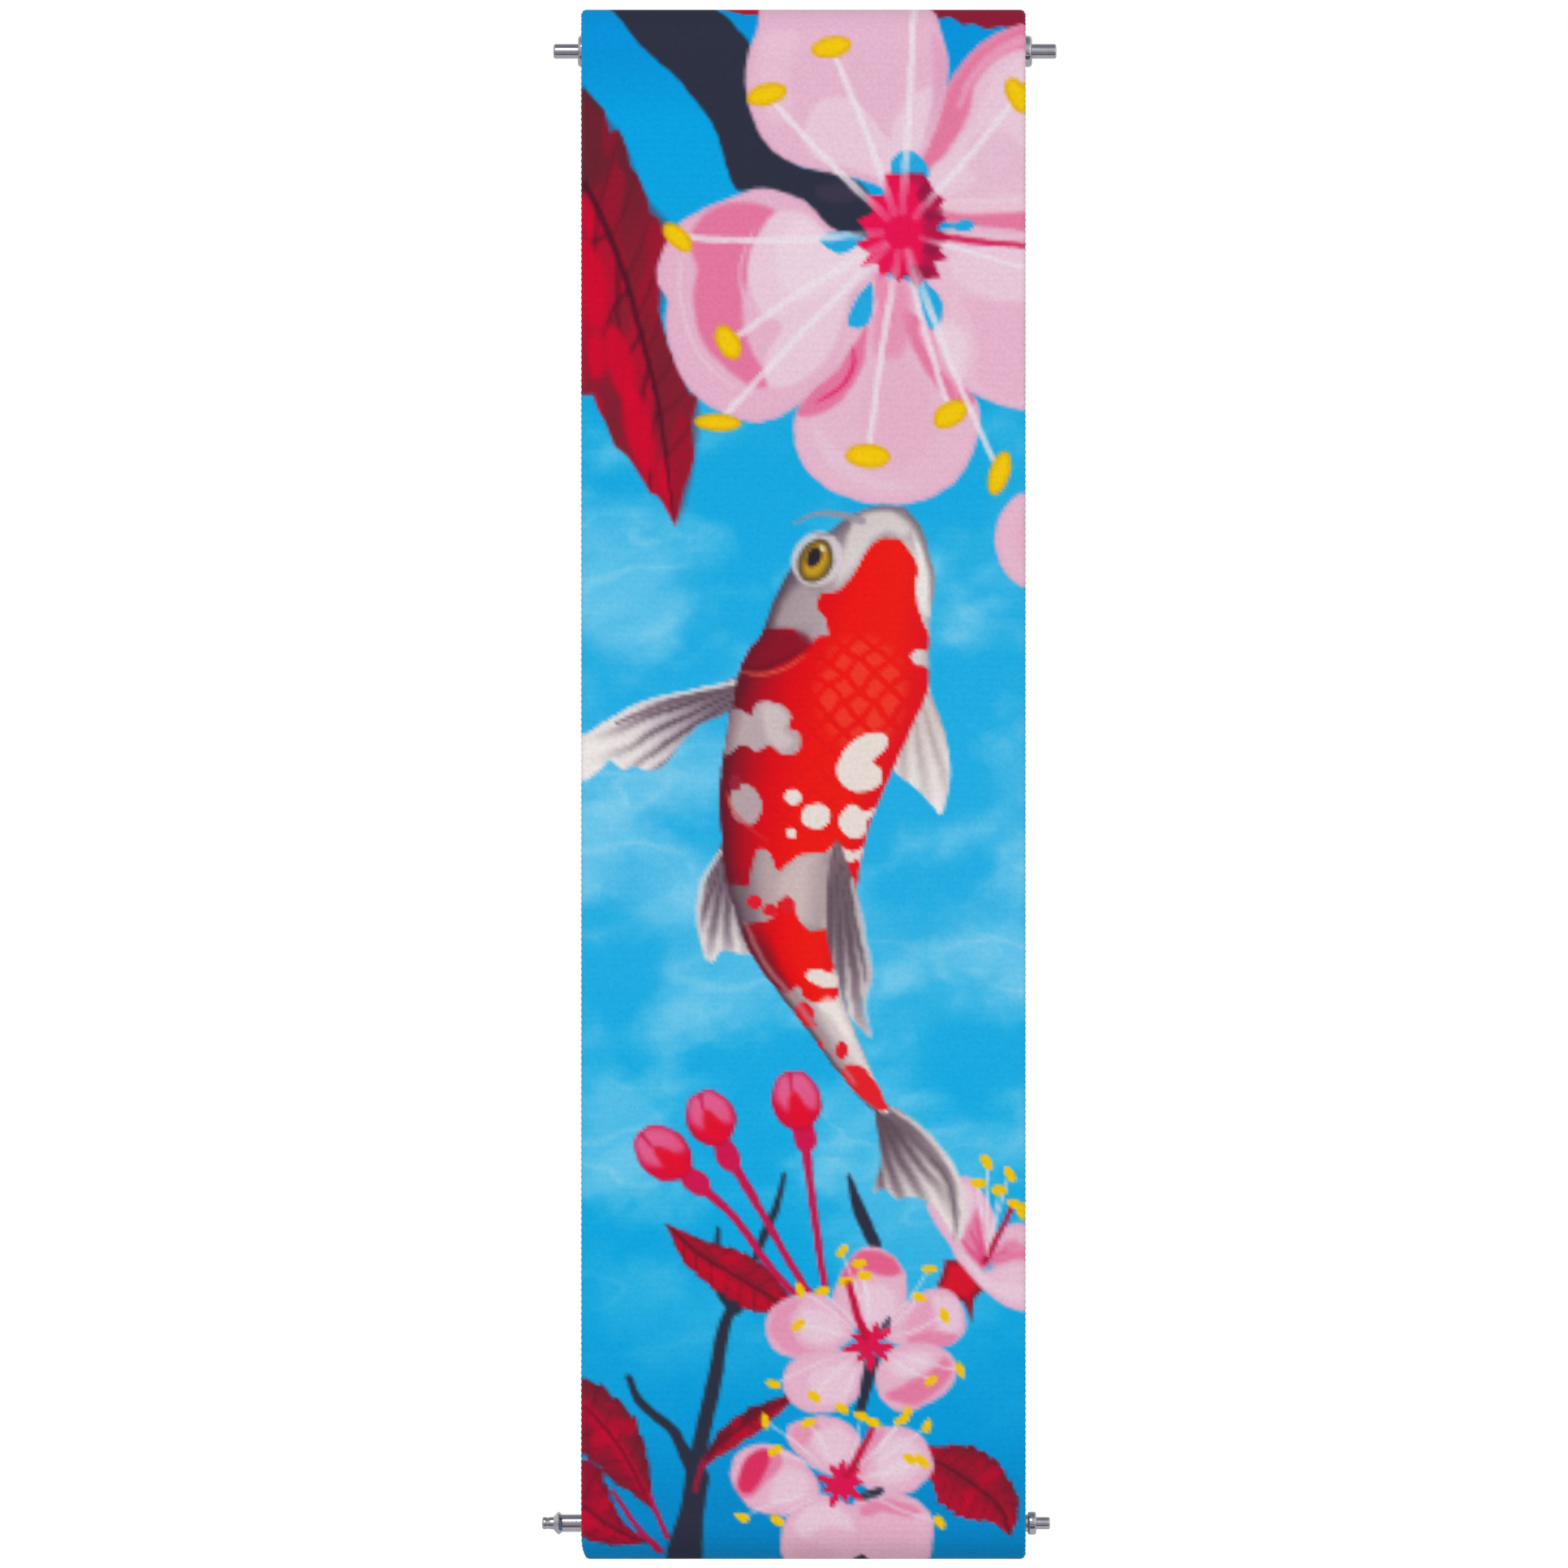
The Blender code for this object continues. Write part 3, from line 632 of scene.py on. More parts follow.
# %% Left petal
petal([(-2.6, 7.9), (-3.9, 8.3), (-5.6, 9.0), (-7.1, 9.9), (-8.1, 11.5), (-8.4, 13.1), (-7.8, 14.3),
    (-7.9, 15.7), (-7.5, 17.5), (-6.5, 19.4), (-4.9, 20.6), (-2.8, 21.3), (-0.9, 20.7), (0.7, 19.4),
    (2.2, 18.0), (2.6, 16.6), (2.8, 14.3), (4.4, 12.7), (4.4, 11.0), (2.8, 10.6), (1.6, 10.1), (0.2, 8.7),
    (-1.2, 8.1)],
      base="#E3B1CA",
      lobes=[([(-3.0, 8.7), (-4.6, 8.8), (-5.9, 9.6), (-6.5, 11.0), (-6.1, 12.4), (-6.3, 14.3),
          (-5.8, 16.6), (-4.4, 18.2), (-2.8, 19.3), (-1.9, 18.9), (-3.0, 17.1), (-3.5, 14.8), (-3.0, 12.4),
          (-2.3, 10.6), (-1.6, 9.3)], MID, 0.45, 0.97),
             ([(-1.6, 9.3), (-2.6, 10.6), (-3.2, 12.4), (-2.6, 14.8), (-1.2, 15.7), (-2.1, 17.5),
                 (-2.0, 19.2), (-0.2, 18.9), (1.4, 17.5), (2.2, 15.7), (2.8, 13.8), (4.2, 12.4),
                 (4.2, 11.3), (1.9, 10.8), (0.0, 9.3)], PALE, 0.35, 0.97),
             ([(-0.2, 9.6), (-1.4, 11.0), (-1.6, 12.9), (-0.2, 14.3), (1.9, 13.4), (3.7, 12.2),
                 (3.3, 11.1), (1.4, 10.7)], "#EBD3E1", 0.9, 0.8)])
stroke([(-6.7, 11.0), (-7.1, 13.1), (-6.7, 15.7), (-5.7, 17.8), (-3.9, 19.3)], [0.1, 0.2, 0.2, 0.2, 0.1],
    "#E9C6D9", amount=0.7)
stroke([(-2.9, 10.3), (-3.6, 12.4), (-3.3, 14.4), (-2.3, 15.0)], [0.1, 0.18, 0.18, 0.1], "#E7B7CE",
    amount=0.8)

print("left petal painted")
# %% Top petal
petal([(-2.1, -6.1), (-2.6, -1.6), (-3.2, 0.4), (-3.3, 2.2), (-2.8, 4.1), (-1.8, 5.7), (-0.2, 6.6),
    (1.4, 7.0), (3.3, 7.4), (5.1, 7.9), (6.3, 6.9), (7.4, 5.0), (8.1, 2.7), (8.3, 0.6), (7.9, -1.1),
    (7.1, -4.7), (7.0, -7.0), (2.3, -8.0)],
      base="#E3B4CC",
      lobes=[([(-1.9, -1.1), (-2.6, 0.6), (-2.5, 2.5), (-1.8, 4.1), (-0.7, 3.6), (-0.9, 1.3),
          (-0.2, -0.8)], "#E7C0D4", 0.8, 0.7),
             ([(0.9, 2.9), (0.0, 4.8), (0.7, 6.2), (2.3, 6.6), (3.9, 7.1), (5.1, 7.4), (5.7, 6.4),
                 (4.4, 4.5), (2.8, 2.8)], PALE, 0.35, 0.9),
             ([(5.7, 3.1), (5.0, 4.8), (5.3, 6.6), (6.1, 6.4), (7.2, 4.5), (7.7, 2.5), (7.0, 2.2)],
                 "#E8CCDC", 0.5, 0.8),
             ([(7.4, -1.1), (8.2, 0.6), (7.9, 2.7), (7.0, 5.0), (7.4, 2.7), (7.4, 0.6)], "#DD9DBD", 0.5,
                 0.8)])

print("top petal painted")
# %% Blue gaps between the petals
fill([(2.6, 14.7), (3.3, 13.5), (4.4, 12.5), (4.9, 13.1), (4.4, 14.4), (3.6, 15.7), (2.5, 17.4),
    (2.1, 17.8), (2.3, 16.6)], "#E4B6CD", soft=0.3)
for ring in ([(5.0, 6.4), (5.6, 5.8), (6.5, 5.9), (7.2, 6.8), (7.0, 7.4), (5.9, 7.1), (5.2, 7.2)],
    [(0.9, 10.7), (1.9, 10.4), (3.3, 10.6), (3.3, 11.0), (2.3, 11.6), (1.5, 11.4)],
             [(3.9, 13.3), (4.0, 14.4), (3.7, 15.5), (3.2, 15.9), (2.6, 15.7), (2.7, 14.9), (3.3, 13.8)],
                 [(6.7, 13.7), (7.4, 13.6), (7.9, 14.5), (7.8, 15.7), (7.4, 15.9), (7.0, 15.1)],
             [(8.5, 10.0), (9.2, 9.7), (9.8, 9.9), (9.5, 10.3), (8.8, 10.3)]):
    fill(ring, "#22A6DF", soft=0.16)

print("gaps painted")
# %% Ragged star
star = [(3.0, 11.0), (3.8, 10.7), (3.1, 9.7), (4.0, 9.3), (3.5, 8.3), (4.6, 8.3), (4.6, 7.1), (5.7, 7.0),
    (6.9, 7.0), (7.4, 7.9), (8.1, 8.6), (7.5, 9.3), (8.2, 9.6), (7.6, 10.2), (8.5, 10.7), (7.7, 11.3),
    (8.3, 11.9), (7.5, 12.1), (7.8, 13.0), (7.0, 13.1), (6.5, 13.6), (5.9, 12.9), (5.4, 13.3), (4.9, 12.7),
    (4.3, 13.2), (4.3, 12.2), (3.3, 12.4), (3.8, 11.6)]
fill(star, "#DF1350", round_it=False, soft=0.2,
    shade=lambda x, d, deep: mixed("#B3164A", "#E60F50", rise(deep + 0.5 * (STAR[0] + 0.6 - x), 0.0, 0.9)))
for wedge in ([(6.4, 8.3), (7.0, 7.4), (7.5, 8.3), (6.8, 8.8)],
    [(7.0, 9.3), (7.9, 9.0), (7.9, 9.6), (7.1, 9.8)], [(7.0, 11.0), (8.0, 11.2), (7.4, 11.8), (6.8, 11.5)],
    [(6.1, 12.2), (7.5, 12.4), (7.2, 13.1), (6.3, 13.0)]):
    fill(wedge, "#8E1740", soft=0.2, amount=0.75, round_it=False)
stroke([(4.4, 13.1), (4.7, 14.4), (5.0, 15.3)], [0.7, 0.9, 0.5], "#E68AAE", amount=0.9)
print("star painted")
# %% Filaments and anthers
FILAMENT = "#EADFE8"
ANTHER = "#EFC204"

def stamen(anther, tilt, long=2.3, wide=1.25, start=STAR, bow=0.0, width=0.42, filament=FILAMENT, reach=1.2):
    """A filament from the star, bowed to one side, and the anther on its end."""
    s, a = np.array(start), np.array(anther)
    run = a - s
    near = s + run * reach / np.hypot(*run)
    bend = (near + a) / 2 + bow * np.array([-run[1], run[0]]) / np.hypot(*run)
    stroke([near, bend, a], [width * 1.1, width * 0.85, width * 0.8], filament, soft=0.22, amount=0.82,
        fade=0.3)
    if tilt is not None:
        fill(oval(a, long, wide, tilt), ANTHER,
            shade=lambda x, d, deep: mixed("#DDA800", "#F0C608", rise(deep, 0.0, 0.35)))

stamen((1.6, -0.2), -10, bow=0.15)
stamen((-2.1, 2.5), -15, bow=-0.15)
stamen((12.3, 2.6), 60, bow=0.1)
stamen((-7.2, 10.7), 45, long=2.1, wide=1.1, bow=-0.3)
stamen((-4.3, 16.7), 62, long=2.1, wide=1.3, bow=0.2)
stamen((-4.9, 21.3), 2, long=2.7, wide=1.0, bow=0.1)
stamen((3.7, 23.2), 3, long=2.6, wide=1.4, bow=0.1)
stamen((8.4, 20.8), -32, long=2.2, wide=1.4, bow=0.15)
stamen((11.2, 24.2), -72, long=2.6, wide=1.2, bow=0.2)
stamen((6.4, -5.6), None, bow=0.1)
stamen((12.6, 12.4), None, bow=0.0, width=0.3)
stamen((13.0, 11.2), None, bow=0.05, width=0.42, filament="#CE0A45", reach=1.5)
petal(oval((13.4, 28.0), 4.92, 5.76), base="#E5B5CD", lobes=[(oval((14.0, 27.8), 3.90, 4.46), "#E3A9C5",
    0.8, 0.6)])
print("big blossom painted")

# %% [markdown]
# ## Printed picture: a blossom seen from the side
# It leans in from the right edge, and the koi's tail will lie over it, so it is painted first.
# %% Side blossom
fill([(8.1, 69.2), (9.1, 69.2), (9.8, 69.6), (10.3, 70.9), (9.8, 71.4), (9.6, 72.7), (9.2, 71.6),
    (8.5, 71.4), (7.6, 71.0), (7.9, 70.0)], "#C0122C", round_it=False,
     shade=lambda x, d, deep: mixed("#8E1428", "#D5142C", rise(deep, 0.05, 0.5)))
petal([(7.1, 66.2), (7.5, 65.4), (9.3, 64.4), (10.3, 65.4), (11.0, 67.1), (10.8, 69.1), (9.8, 69.8),
    (8.8, 68.9), (7.9, 67.7)], base="#E4B9CF",
      lobes=[([(9.1, 68.2), (9.6, 66.8), (10.0, 66.3), (10.4, 67.7), (10.4, 69.2), (9.7, 69.4)], MID, 0.5,
          0.8), ([(7.9, 65.8), (9.1, 65.0), (9.8, 65.8), (9.1, 67.2)], PALE, 0.5, 0.9)])
petal([(10.8, 68.6), (11.2, 67.5), (12.1, 67.1), (13.2, 67.4), (14.4, 68.6), (12.6, 70.0), (11.1, 70.1)],
    base="#E4B4CB", lobes=[([(10.8, 69.2), (11.6, 68.1), (12.6, 68.4), (12.6, 69.6), (11.4, 69.8)], MID,
    0.4, 0.7)])
petal([(8.5, 67.9), (9.4, 68.9), (10.4, 69.8), (11.4, 69.4), (12.6, 69.2), (14.4, 69.6), (14.4, 72.6),
    (12.6, 72.2), (11.5, 71.8), (10.3, 70.9), (9.3, 69.8), (8.6, 68.9)], base="#E6BED2",
      lobes=[([(8.9, 68.5), (9.8, 69.4), (10.9, 70.4), (12.6, 70.7), (12.6, 71.4), (11.1, 71.2),
          (9.8, 70.1)], PALE, 0.4, 0.9)])
for tip in [(9.6, 67.5), (9.9, 66.8), (10.3, 67.2), (11.1, 68.3), (11.6, 68.6), (9.1, 68.1)]:
    stroke([(10.3, 69.4), tip], [0.34, 0.14], "#DD4C84", amount=0.75)
stroke([(10.3, 69.6), (11.4, 69.0), (12.6, 68.9)], [0.3, 0.5, 0.3], MID, amount=0.7)
stroke([(10.4, 69.3), (11.2, 67.7), (11.9, 66.2)], [0.36, 0.3, 0.28], "#B4133C")
for tip in [(10.5, 63.8), (11.7, 64.5), (10.0, 65.0), (11.2, 65.3)]:
    stroke([(10.5, 68.9), tip], [0.14, 0.16], FILAMENT, soft=0.2, amount=0.75, fade=0.5)
for place, tilt in [((10.5, 63.6), 62), ((11.8, 64.3), 62), ((10.0, 64.8), 0), ((11.2, 65.2), 0),
    ((12.1, 66.0), 20), ((12.5, 66.5), 60)]:
    fill(oval(place, 0.95, 0.55, tilt), ANTHER, soft=0.16)
print("side blossom painted")

# %% [markdown]
# ## Printed picture: the koi
# The fish is described as a boat builder describes a hull: at each distance down the strap, where its left
# and right sides lie. The same list gives the outline and how far across the body a place is, which the
# shading needs. The fins are fans: their rays spread from a root and pale towards the edge.
# %% Fins
def fin(ring, root, tones, reach, rays=60, dark="#5F4D5C", amount=0.55, seed=3):
    """A fan of rays from its root, with colours from the root out to its reach."""
    line = smooth(ring, True, 4)
    area = window(line.min(0), line.max(0), 0.5)
    x, d = PX[area], PD[area]
    if not x.size:
        return
    deep = depth(line, x, d)
    out = np.hypot(x - root[0], d - root[1]) / reach
    angle = np.arctan2(d - root[1], x - root[0])
    paint = blended(tones, out)
    ray = 0.5 + 0.5 * np.sin(rays * angle + 3 * clouds(x, d, 2.5, seed, 2))
    paint = mixed(paint, dark, amount * rise(ray, 0.55, 0.95) * rise(out, 1.08, 0.5))
    paint = mixed(paint, "#EFE9E8", 0.6 * rise(ray, 0.4, 0.1) * rise(out, 0.35, 0.9))
    lay(area, paint, rise(deep, -0.1, 0.1))
# %% Side fins, under the body
fin([(-3.5, 35.9), (-5.1, 36.4), (-7.4, 36.9), (-9.3, 37.4), (-10.9, 38.3), (-12.4, 39.2), (-13.5, 40.1),
    (-13.9, 41.5), (-12.6, 41.8), (-11.5, 41.0), (-11.1, 40.6), (-10.3, 41.2), (-9.7, 40.9), (-9.0, 41.2),
    (-8.1, 41.0), (-7.1, 39.8), (-5.9, 38.6), (-3.5, 37.4)],
    (-1.4, 35.6), [(0.0, "#6B5565"), (0.35, "#786474"), (0.6, "#A899A5"), (0.8, "#D9CFD1"),
        (1.0, "#ECE5E3")], 11.5, rays=56, dark="#54424F", amount=0.75)
stroke([(-3.9, 36.2), (-6.5, 36.7), (-9.3, 37.4), (-11.6, 38.7), (-12.9, 39.6)],
    [0.3, 0.3, 0.26, 0.22, 0.2], "#E9DEE0", soft=0.14, amount=0.85)
stroke([(-3.9, 36.5), (-6.5, 37.0), (-8.8, 37.7), (-10.7, 38.5)], [0.3, 0.4, 0.34, 0.16], "#6A5664",
    soft=0.2, amount=0.8)
fin([(6.7, 35.7), (7.4, 37.1), (8.1, 39.1), (8.4, 41.0), (8.2, 42.9), (7.8, 43.7), (7.3, 43.1),
    (6.4, 42.2), (5.1, 41.0), (4.9, 38.9)],
    (5.8, 33.8), [(0.0, "#CDBFC0"), (0.5, "#CFC1BF"), (0.85, "#DCD3D2"), (1.0, "#E9E4E4")], 10, rays=44,
        dark="#B09FA4", amount=0.6)
fin([(-4.6, 45.4), (-5.1, 46.4), (-5.7, 47.8), (-6.0, 49.4), (-5.9, 51.0), (-5.3, 52.2), (-4.6, 51.5),
    (-3.3, 51.7), (-2.8, 51.2), (-3.0, 49.1), (-3.9, 46.3)],
    (-4.3, 44.9), [(0.0, "#7D6470"), (0.4, "#74626F"), (0.75, "#A3969F"), (1.0, "#DDD6D9")], 7.2, rays=40,
        dark="#55434F", amount=0.6)
stroke([(-4.7, 45.8), (-5.7, 47.5), (-6.0, 49.6), (-5.6, 51.9)], [0.2, 0.34, 0.34, 0.2], "#DAD3D6",
    soft=0.2, amount=0.8)

print("side fins painted")
# %% Tail fin
fin([(4.1, 60.6), (5.0, 60.4), (6.6, 61.5), (7.9, 62.9), (8.8, 64.4), (9.3, 66.3), (9.0, 68.0),
    (8.5, 67.7), (7.8, 66.5), (7.0, 65.8), (6.0, 65.6), (5.3, 65.7), (4.6, 65.1), (4.0, 65.3), (4.4, 63.7),
    (4.3, 62.1)],
    (3.3, 58.9), [(0.0, "#5A4450"), (0.4, "#66545F"), (0.62, "#978690"), (0.82, "#C9BEC0"),
        (1.0, "#DDD2D3")], 9.4, rays=46, dark="#5A4753", amount=0.5)
stroke([(4.8, 60.8), (6.3, 61.9), (7.4, 63.2), (8.3, 64.7), (8.7, 66.5), (8.7, 67.9)],
    [0.3, 0.7, 0.8, 0.7, 0.5, 0.2], "#7E6E77", soft=0.4, amount=0.65)
stroke([(5.0, 60.5), (6.6, 61.6), (7.9, 63.0), (8.8, 64.5), (9.2, 66.3), (9.0, 67.9)],
    [0.2, 0.3, 0.34, 0.34, 0.3, 0.2], "#E2D8D8", soft=0.3, amount=0.85)
stroke([(7.4, 63.4), (8.4, 65.0), (8.7, 67.2)], [0.1, 0.2, 0.1], "#55454F", amount=0.6)
print("tail fin painted")
# %% The body's stations: distance down, left side, right side
stations = [
    (26.1, 4.1, 5.7),
    (26.5, 3.0, 6.1),
    (26.9, 2.3, 6.5),
    (27.5, 1.5, 6.8),
    (28.1, 0.5, 7.0),
    (29.2, -0.4, 7.3),
    (30.3, -1.1, 7.5),
    (31.5, -1.7, 7.4),
    (32.6, -2.1, 7.2),
    (33.6, -2.5, 7.2),
    (34.3, -3.1, 7.2),
    (35.4, -3.6, 7.2),
    (36.6, -3.9, 7.1),
    (38.2, -4.2, 6.4),
    (39.8, -4.5, 5.7),
    (41.2, -4.7, 5.1),
    (42.9, -4.8, 4.3),
    (44.5, -4.7, 3.7),
    (46.3, -4.6, 3.3),
    (48.0, -4.3, 3.0),
    (49.6, -3.8, 2.5),
    (51.0, -3.3, 2.0),
    (52.4, -2.5, 1.9),
    (53.8, -1.5, 2.1),
    (55.2, -0.4, 2.6),
    (56.5, 0.6, 3.1),
    (57.9, 1.6, 3.7),
    (59.3, 2.7, 4.3),
    (60.4, 3.7, 4.8),
    (60.8, 4.3, 4.9),
]
stations = np.array(stations)
body = np.vstack([stations[:, [1, 0]], stations[::-1][:, [2, 0]]])
left_side = np.interp(PD, stations[:, 0], stations[:, 1])
right_side = np.interp(PD, stations[:, 0], stations[:, 2])
over = (PX - left_side) / np.maximum(right_side - left_side, 0.1)
print("koi", round(stations[-1, 0] - stations[0, 0], 1), "mm long")
# %% Body ground
ring = smooth(body, True, 3)
koi_area = window(ring.min(0), ring.max(0), 0.3)
koi_deep = depth(ring, PX[koi_area], PD[koi_area])
koi_cover = rise(koi_deep, -0.1, 0.1)
ground = blended([(0, "#5E4E5C"), (0.1, "#75646E"), (0.3, "#A8989E"), (0.5, "#CBBFC1"), (0.8, "#E3D9D6"),
    (0.95, "#D5CACA"), (1, "#B5A8AC")], over[koi_area])
d_here = PD[koi_area]
ground = mixed(ground, "#BBA1A1", 0.75 * rise(d_here, 44, 47) * rise(d_here, 56, 50) * rise(over[koi_area],
    0.15, 0.35))
ground = mixed(ground, "#6F5F69", 0.7 * rise(d_here, 45, 47) * rise(d_here, 54, 51) * rise(over[koi_area],
    0.9, 0.75) * rise(over[koi_area], 0.55, 0.75))
ground = mixed(ground, "#8B7E88", 0.8 * rise(d_here, 29.6, 26.4))
lay(koi_area, ground, koi_cover)
print("body covers", round(float(koi_cover.mean() * 100)), "% of its box")
# %% Paint kept inside the body
def on_koi(line, colour, soft=0.14, amount=1.0, shade=None):
    """Paints a closed shape on the fish only."""
    shape = smooth(line, True)
    x, d = PX[koi_area], PD[koi_area]
    deep = depth(shape, x, d)
    paint = shade(x, d, deep) if shade else colour
    lay(koi_area, paint, amount * koi_cover * rise(deep, -soft / 2, soft / 2))

def red(x, d, deep):
    """Koi red, darker to maroon on the side that is turned away."""
    t = over[koi_area]
    paint = blended([(0, "#6A1628"), (0.07, "#8A1426"), (0.17, "#B80E20"), (0.3, "#DE0B17"),
        (0.5, "#EC1512"), (0.8, "#EC1A14"), (1, "#DC1220")], t)
    return mixed(paint, "#7A1828", 0.8 * rise(t, 0.34, 0.12) * rise(d, 50.0, 51.5))
# %% Belly
on_koi([(-1.4, 47.5), (-0.2, 46.3), (1.0, 46.1), (1.9, 47.7), (2.0, 50.0), (0.9, 50.4), (-0.2, 49.8),
    (-1.3, 48.7)], "#D8C4C4", soft=0.8, amount=0.5)

print("belly painted")
# %% Head
on_koi([(2.9, 26.8), (3.9, 26.3), (5.1, 26.4), (6.1, 27.3), (5.7, 27.8), (4.9, 27.5), (3.9, 28.0),
    (3.1, 29.2), (1.9, 30.5), (2.3, 28.7)], "#DCD4D2", soft=0.5, amount=0.85)
on_koi([(6.3, 27.5), (7.0, 29.2), (7.2, 30.5), (7.2, 32.4), (6.6, 31.5), (6.6, 29.6)], "#EDE6E3", soft=0.3,
    amount=0.9)
on_koi([(-0.2, 30.5), (0.9, 31.2), (1.0, 32.4), (-0.2, 33.1), (-1.6, 33.1), (-1.4, 31.9)], "#B3A1A7",
    soft=0.9, amount=0.8)
on_koi([(4.6, 27.9), (5.5, 28.0), (6.1, 28.7), (6.5, 29.6), (6.4, 30.5), (6.5, 31.7), (6.8, 32.6),
    (7.2, 33.6), (7.2, 34.3), (6.5, 34.3), (6.1, 34.6), (6.4, 35.1), (7.2, 35.4), (7.4, 36.4), (7.0, 37.5),
    (5.3, 41.7), (4.4, 44.0), (4.1, 45.9), (3.3, 47.0), (3.0, 48.2), (2.1, 46.3), (1.9, 45.4), (1.2, 45.9),
    (-0.2, 46.0), (-1.4, 46.9), (-1.9, 45.9), (-2.6, 45.7), (-3.0, 46.8), (-3.2, 47.8), (-3.9, 47.7),
    (-5.1, 47.3), (-5.1, 43.5), (-5.1, 38.9), (-4.2, 36.6), (-3.9, 35.7), (-3.5, 34.3), (-3.0, 33.4),
    (-1.9, 33.1), (-0.7, 33.1), (-0.1, 33.8), (0.4, 34.0), (0.8, 33.6), (1.4, 33.4), (1.3, 32.6),
    (0.8, 31.7), (1.1, 31.1), (1.9, 30.9), (2.4, 30.5), (2.9, 29.9), (3.3, 29.2), (3.8, 28.4)], "#E81414",
    shade=red)
on_koi([(1.9, 46.3), (3.0, 46.8), (3.2, 48.2), (2.7, 49.4), (2.1, 47.7)], "#E4192A", shade=red)
print("head painted")
# %% Gill
on_koi([(-3.0, 33.6), (-1.9, 33.2), (-0.2, 33.3), (0.5, 33.9), (-0.2, 34.6), (-1.6, 35.2), (-2.6, 35.7),
    (-3.6, 35.6), (-3.9, 34.7)], "#84142A", soft=0.5, amount=0.85)
stroke([(-3.6, 35.5), (-2.6, 35.7), (-1.2, 35.4), (0.1, 34.6)], [0.1, 0.2, 0.18, 0.1], "#E4634A", amount=0.8)
stroke([(-3.5, 35.1), (-2.6, 35.4), (-1.3, 34.9), (-0.2, 34.3)], [0.1, 0.28, 0.24, 0.1], "#6E1324",
    amount=0.8)

print("gill painted")
# %% Scales
CELL = 0.88
sway = 0.9 * (clouds(PX, PD, 1.6, 91, 2) - 0.5)
u = (PX - 3.2) / CELL + (PD - 36.5) / (CELL * 0.92) + sway
v = (PX - 3.2) / CELL - (PD - 36.5) / (CELL * 0.92) - sway
cell = np.minimum(np.abs(np.sin(math.pi * u / 2)), np.abs(np.sin(math.pi * v / 2)))
patch = rise(np.hypot((PX - 3.3) / 2.9, (PD - 36.7) / 3.6), 1.05, 0.7)
picture[:] = mixed(picture, "#F0503A", 0.55 * rise(cell, 0.33, 0.62) * patch)
row = rise(np.hypot((PX - 1.0) / 5.5, (PD - 41.5) / 4.2), 1.0, 0.7) * (over > 0.15) * (over < 0.9)
picture[:] = mixed(picture, "#C80F1E", 0.22 * rise(cell, 0.3, 0.15) * row)
print("scales", CELL, "mm apart")
# %% White patches
CREAM = "#E7DAD5"
for outline, tone in (
    ([(-2.6, 37.3), (-1.3, 37.4), (-0.7, 38.0), (-0.8, 38.7), (-0.2, 39.1), (-0.3, 40.1), (-1.2, 40.3),
        (-1.9, 39.8), (-2.7, 40.1), (-3.5, 39.7), (-4.4, 40.3), (-5.1, 40.1), (-4.9, 38.0), (-3.9, 37.6),
        (-3.0, 38.0)], "#B9A6AB"),
    ([(3.9, 39.0), (4.6, 39.1), (4.9, 39.6), (4.5, 40.1), (4.0, 40.7), (4.4, 41.1), (4.5, 41.8),
        (3.9, 42.3), (3.0, 42.4), (2.2, 42.0), (1.9, 41.0), (2.3, 40.1), (3.0, 39.4)], CREAM),
    ([(2.3, 43.5), (2.9, 43.1), (3.5, 43.5), (4.1, 43.3), (4.1, 43.7), (3.6, 44.1), (3.5, 44.8),
        (2.9, 45.1), (2.3, 44.8), (2.0, 44.1)], CREAM),
    ([(1.7, 46.0), (2.1, 45.6), (2.9, 45.8), (3.7, 45.4), (3.5, 46.0), (2.8, 46.4), (2.3, 46.6),
        (2.0, 47.3), (1.6, 46.8)], "#E4D6D2"),
):
    on_koi(outline, tone)
on_koi([(-2.3, 37.4), (-1.5, 37.5), (-0.9, 38.2), (-1.1, 38.9), (-0.6, 39.5), (-1.2, 40.0), (-2.0, 39.5),
    (-2.3, 38.4)], "#D2C3C4", soft=0.5, amount=0.8)
for place, long, wide, tilt, tone in [
    ((-0.6, 42.7), 1.0, 0.9, 0, CREAM), ((0.7, 43.8), 1.7, 1.5, 0, CREAM), ((-0.7, 44.8), 0.6, 0.6, 0, CREAM),
    ((-3.3, 43.1), 1.8, 2.4, -15, "#B5A0A5"), ((-3.9, 41.9), 0.7, 0.9, 0, "#9B2435"),
        ((3.5, 46.4), 0.8, 0.6, 40, CREAM), ((2.6, 47.5), 0.9, 0.5, 60, CREAM),
]:
    on_koi(oval(place, long, wide, tilt), tone)
stroke([(-4.4, 42.4), (-4.0, 43.5), (-3.0, 44.5), (-2.1, 45.2)], [0.1, 0.16, 0.16, 0.1], "#D23A3A",
    amount=0.7)

print("white patches painted")
# %% Red marks behind the middle
on_koi([(-3.3, 50.0), (-2.1, 49.8), (-1.6, 49.4), (-1.4, 48.7), (-0.6, 49.0), (-0.2, 49.8), (0.4, 50.4),
    (1.0, 50.3), (1.9, 50.5), (2.0, 52.1), (1.6, 52.7), (1.9, 53.1), (2.0, 53.9), (1.7, 54.4), (0.9, 54.5),
    (0.1, 54.2), (-0.3, 53.5), (-1.0, 53.9), (-2.3, 53.1), (-3.5, 51.0)], "#E01825", shade=red)
on_koi(oval((1.1, 53.1), 2.0, 0.95, 14), CREAM)
on_koi([(2.3, 58.2), (3.1, 58.0), (3.7, 58.5), (4.5, 59.6), (4.9, 60.5), (4.3, 60.6), (3.3, 59.9),
    (2.3, 58.9)], "#E4202A")
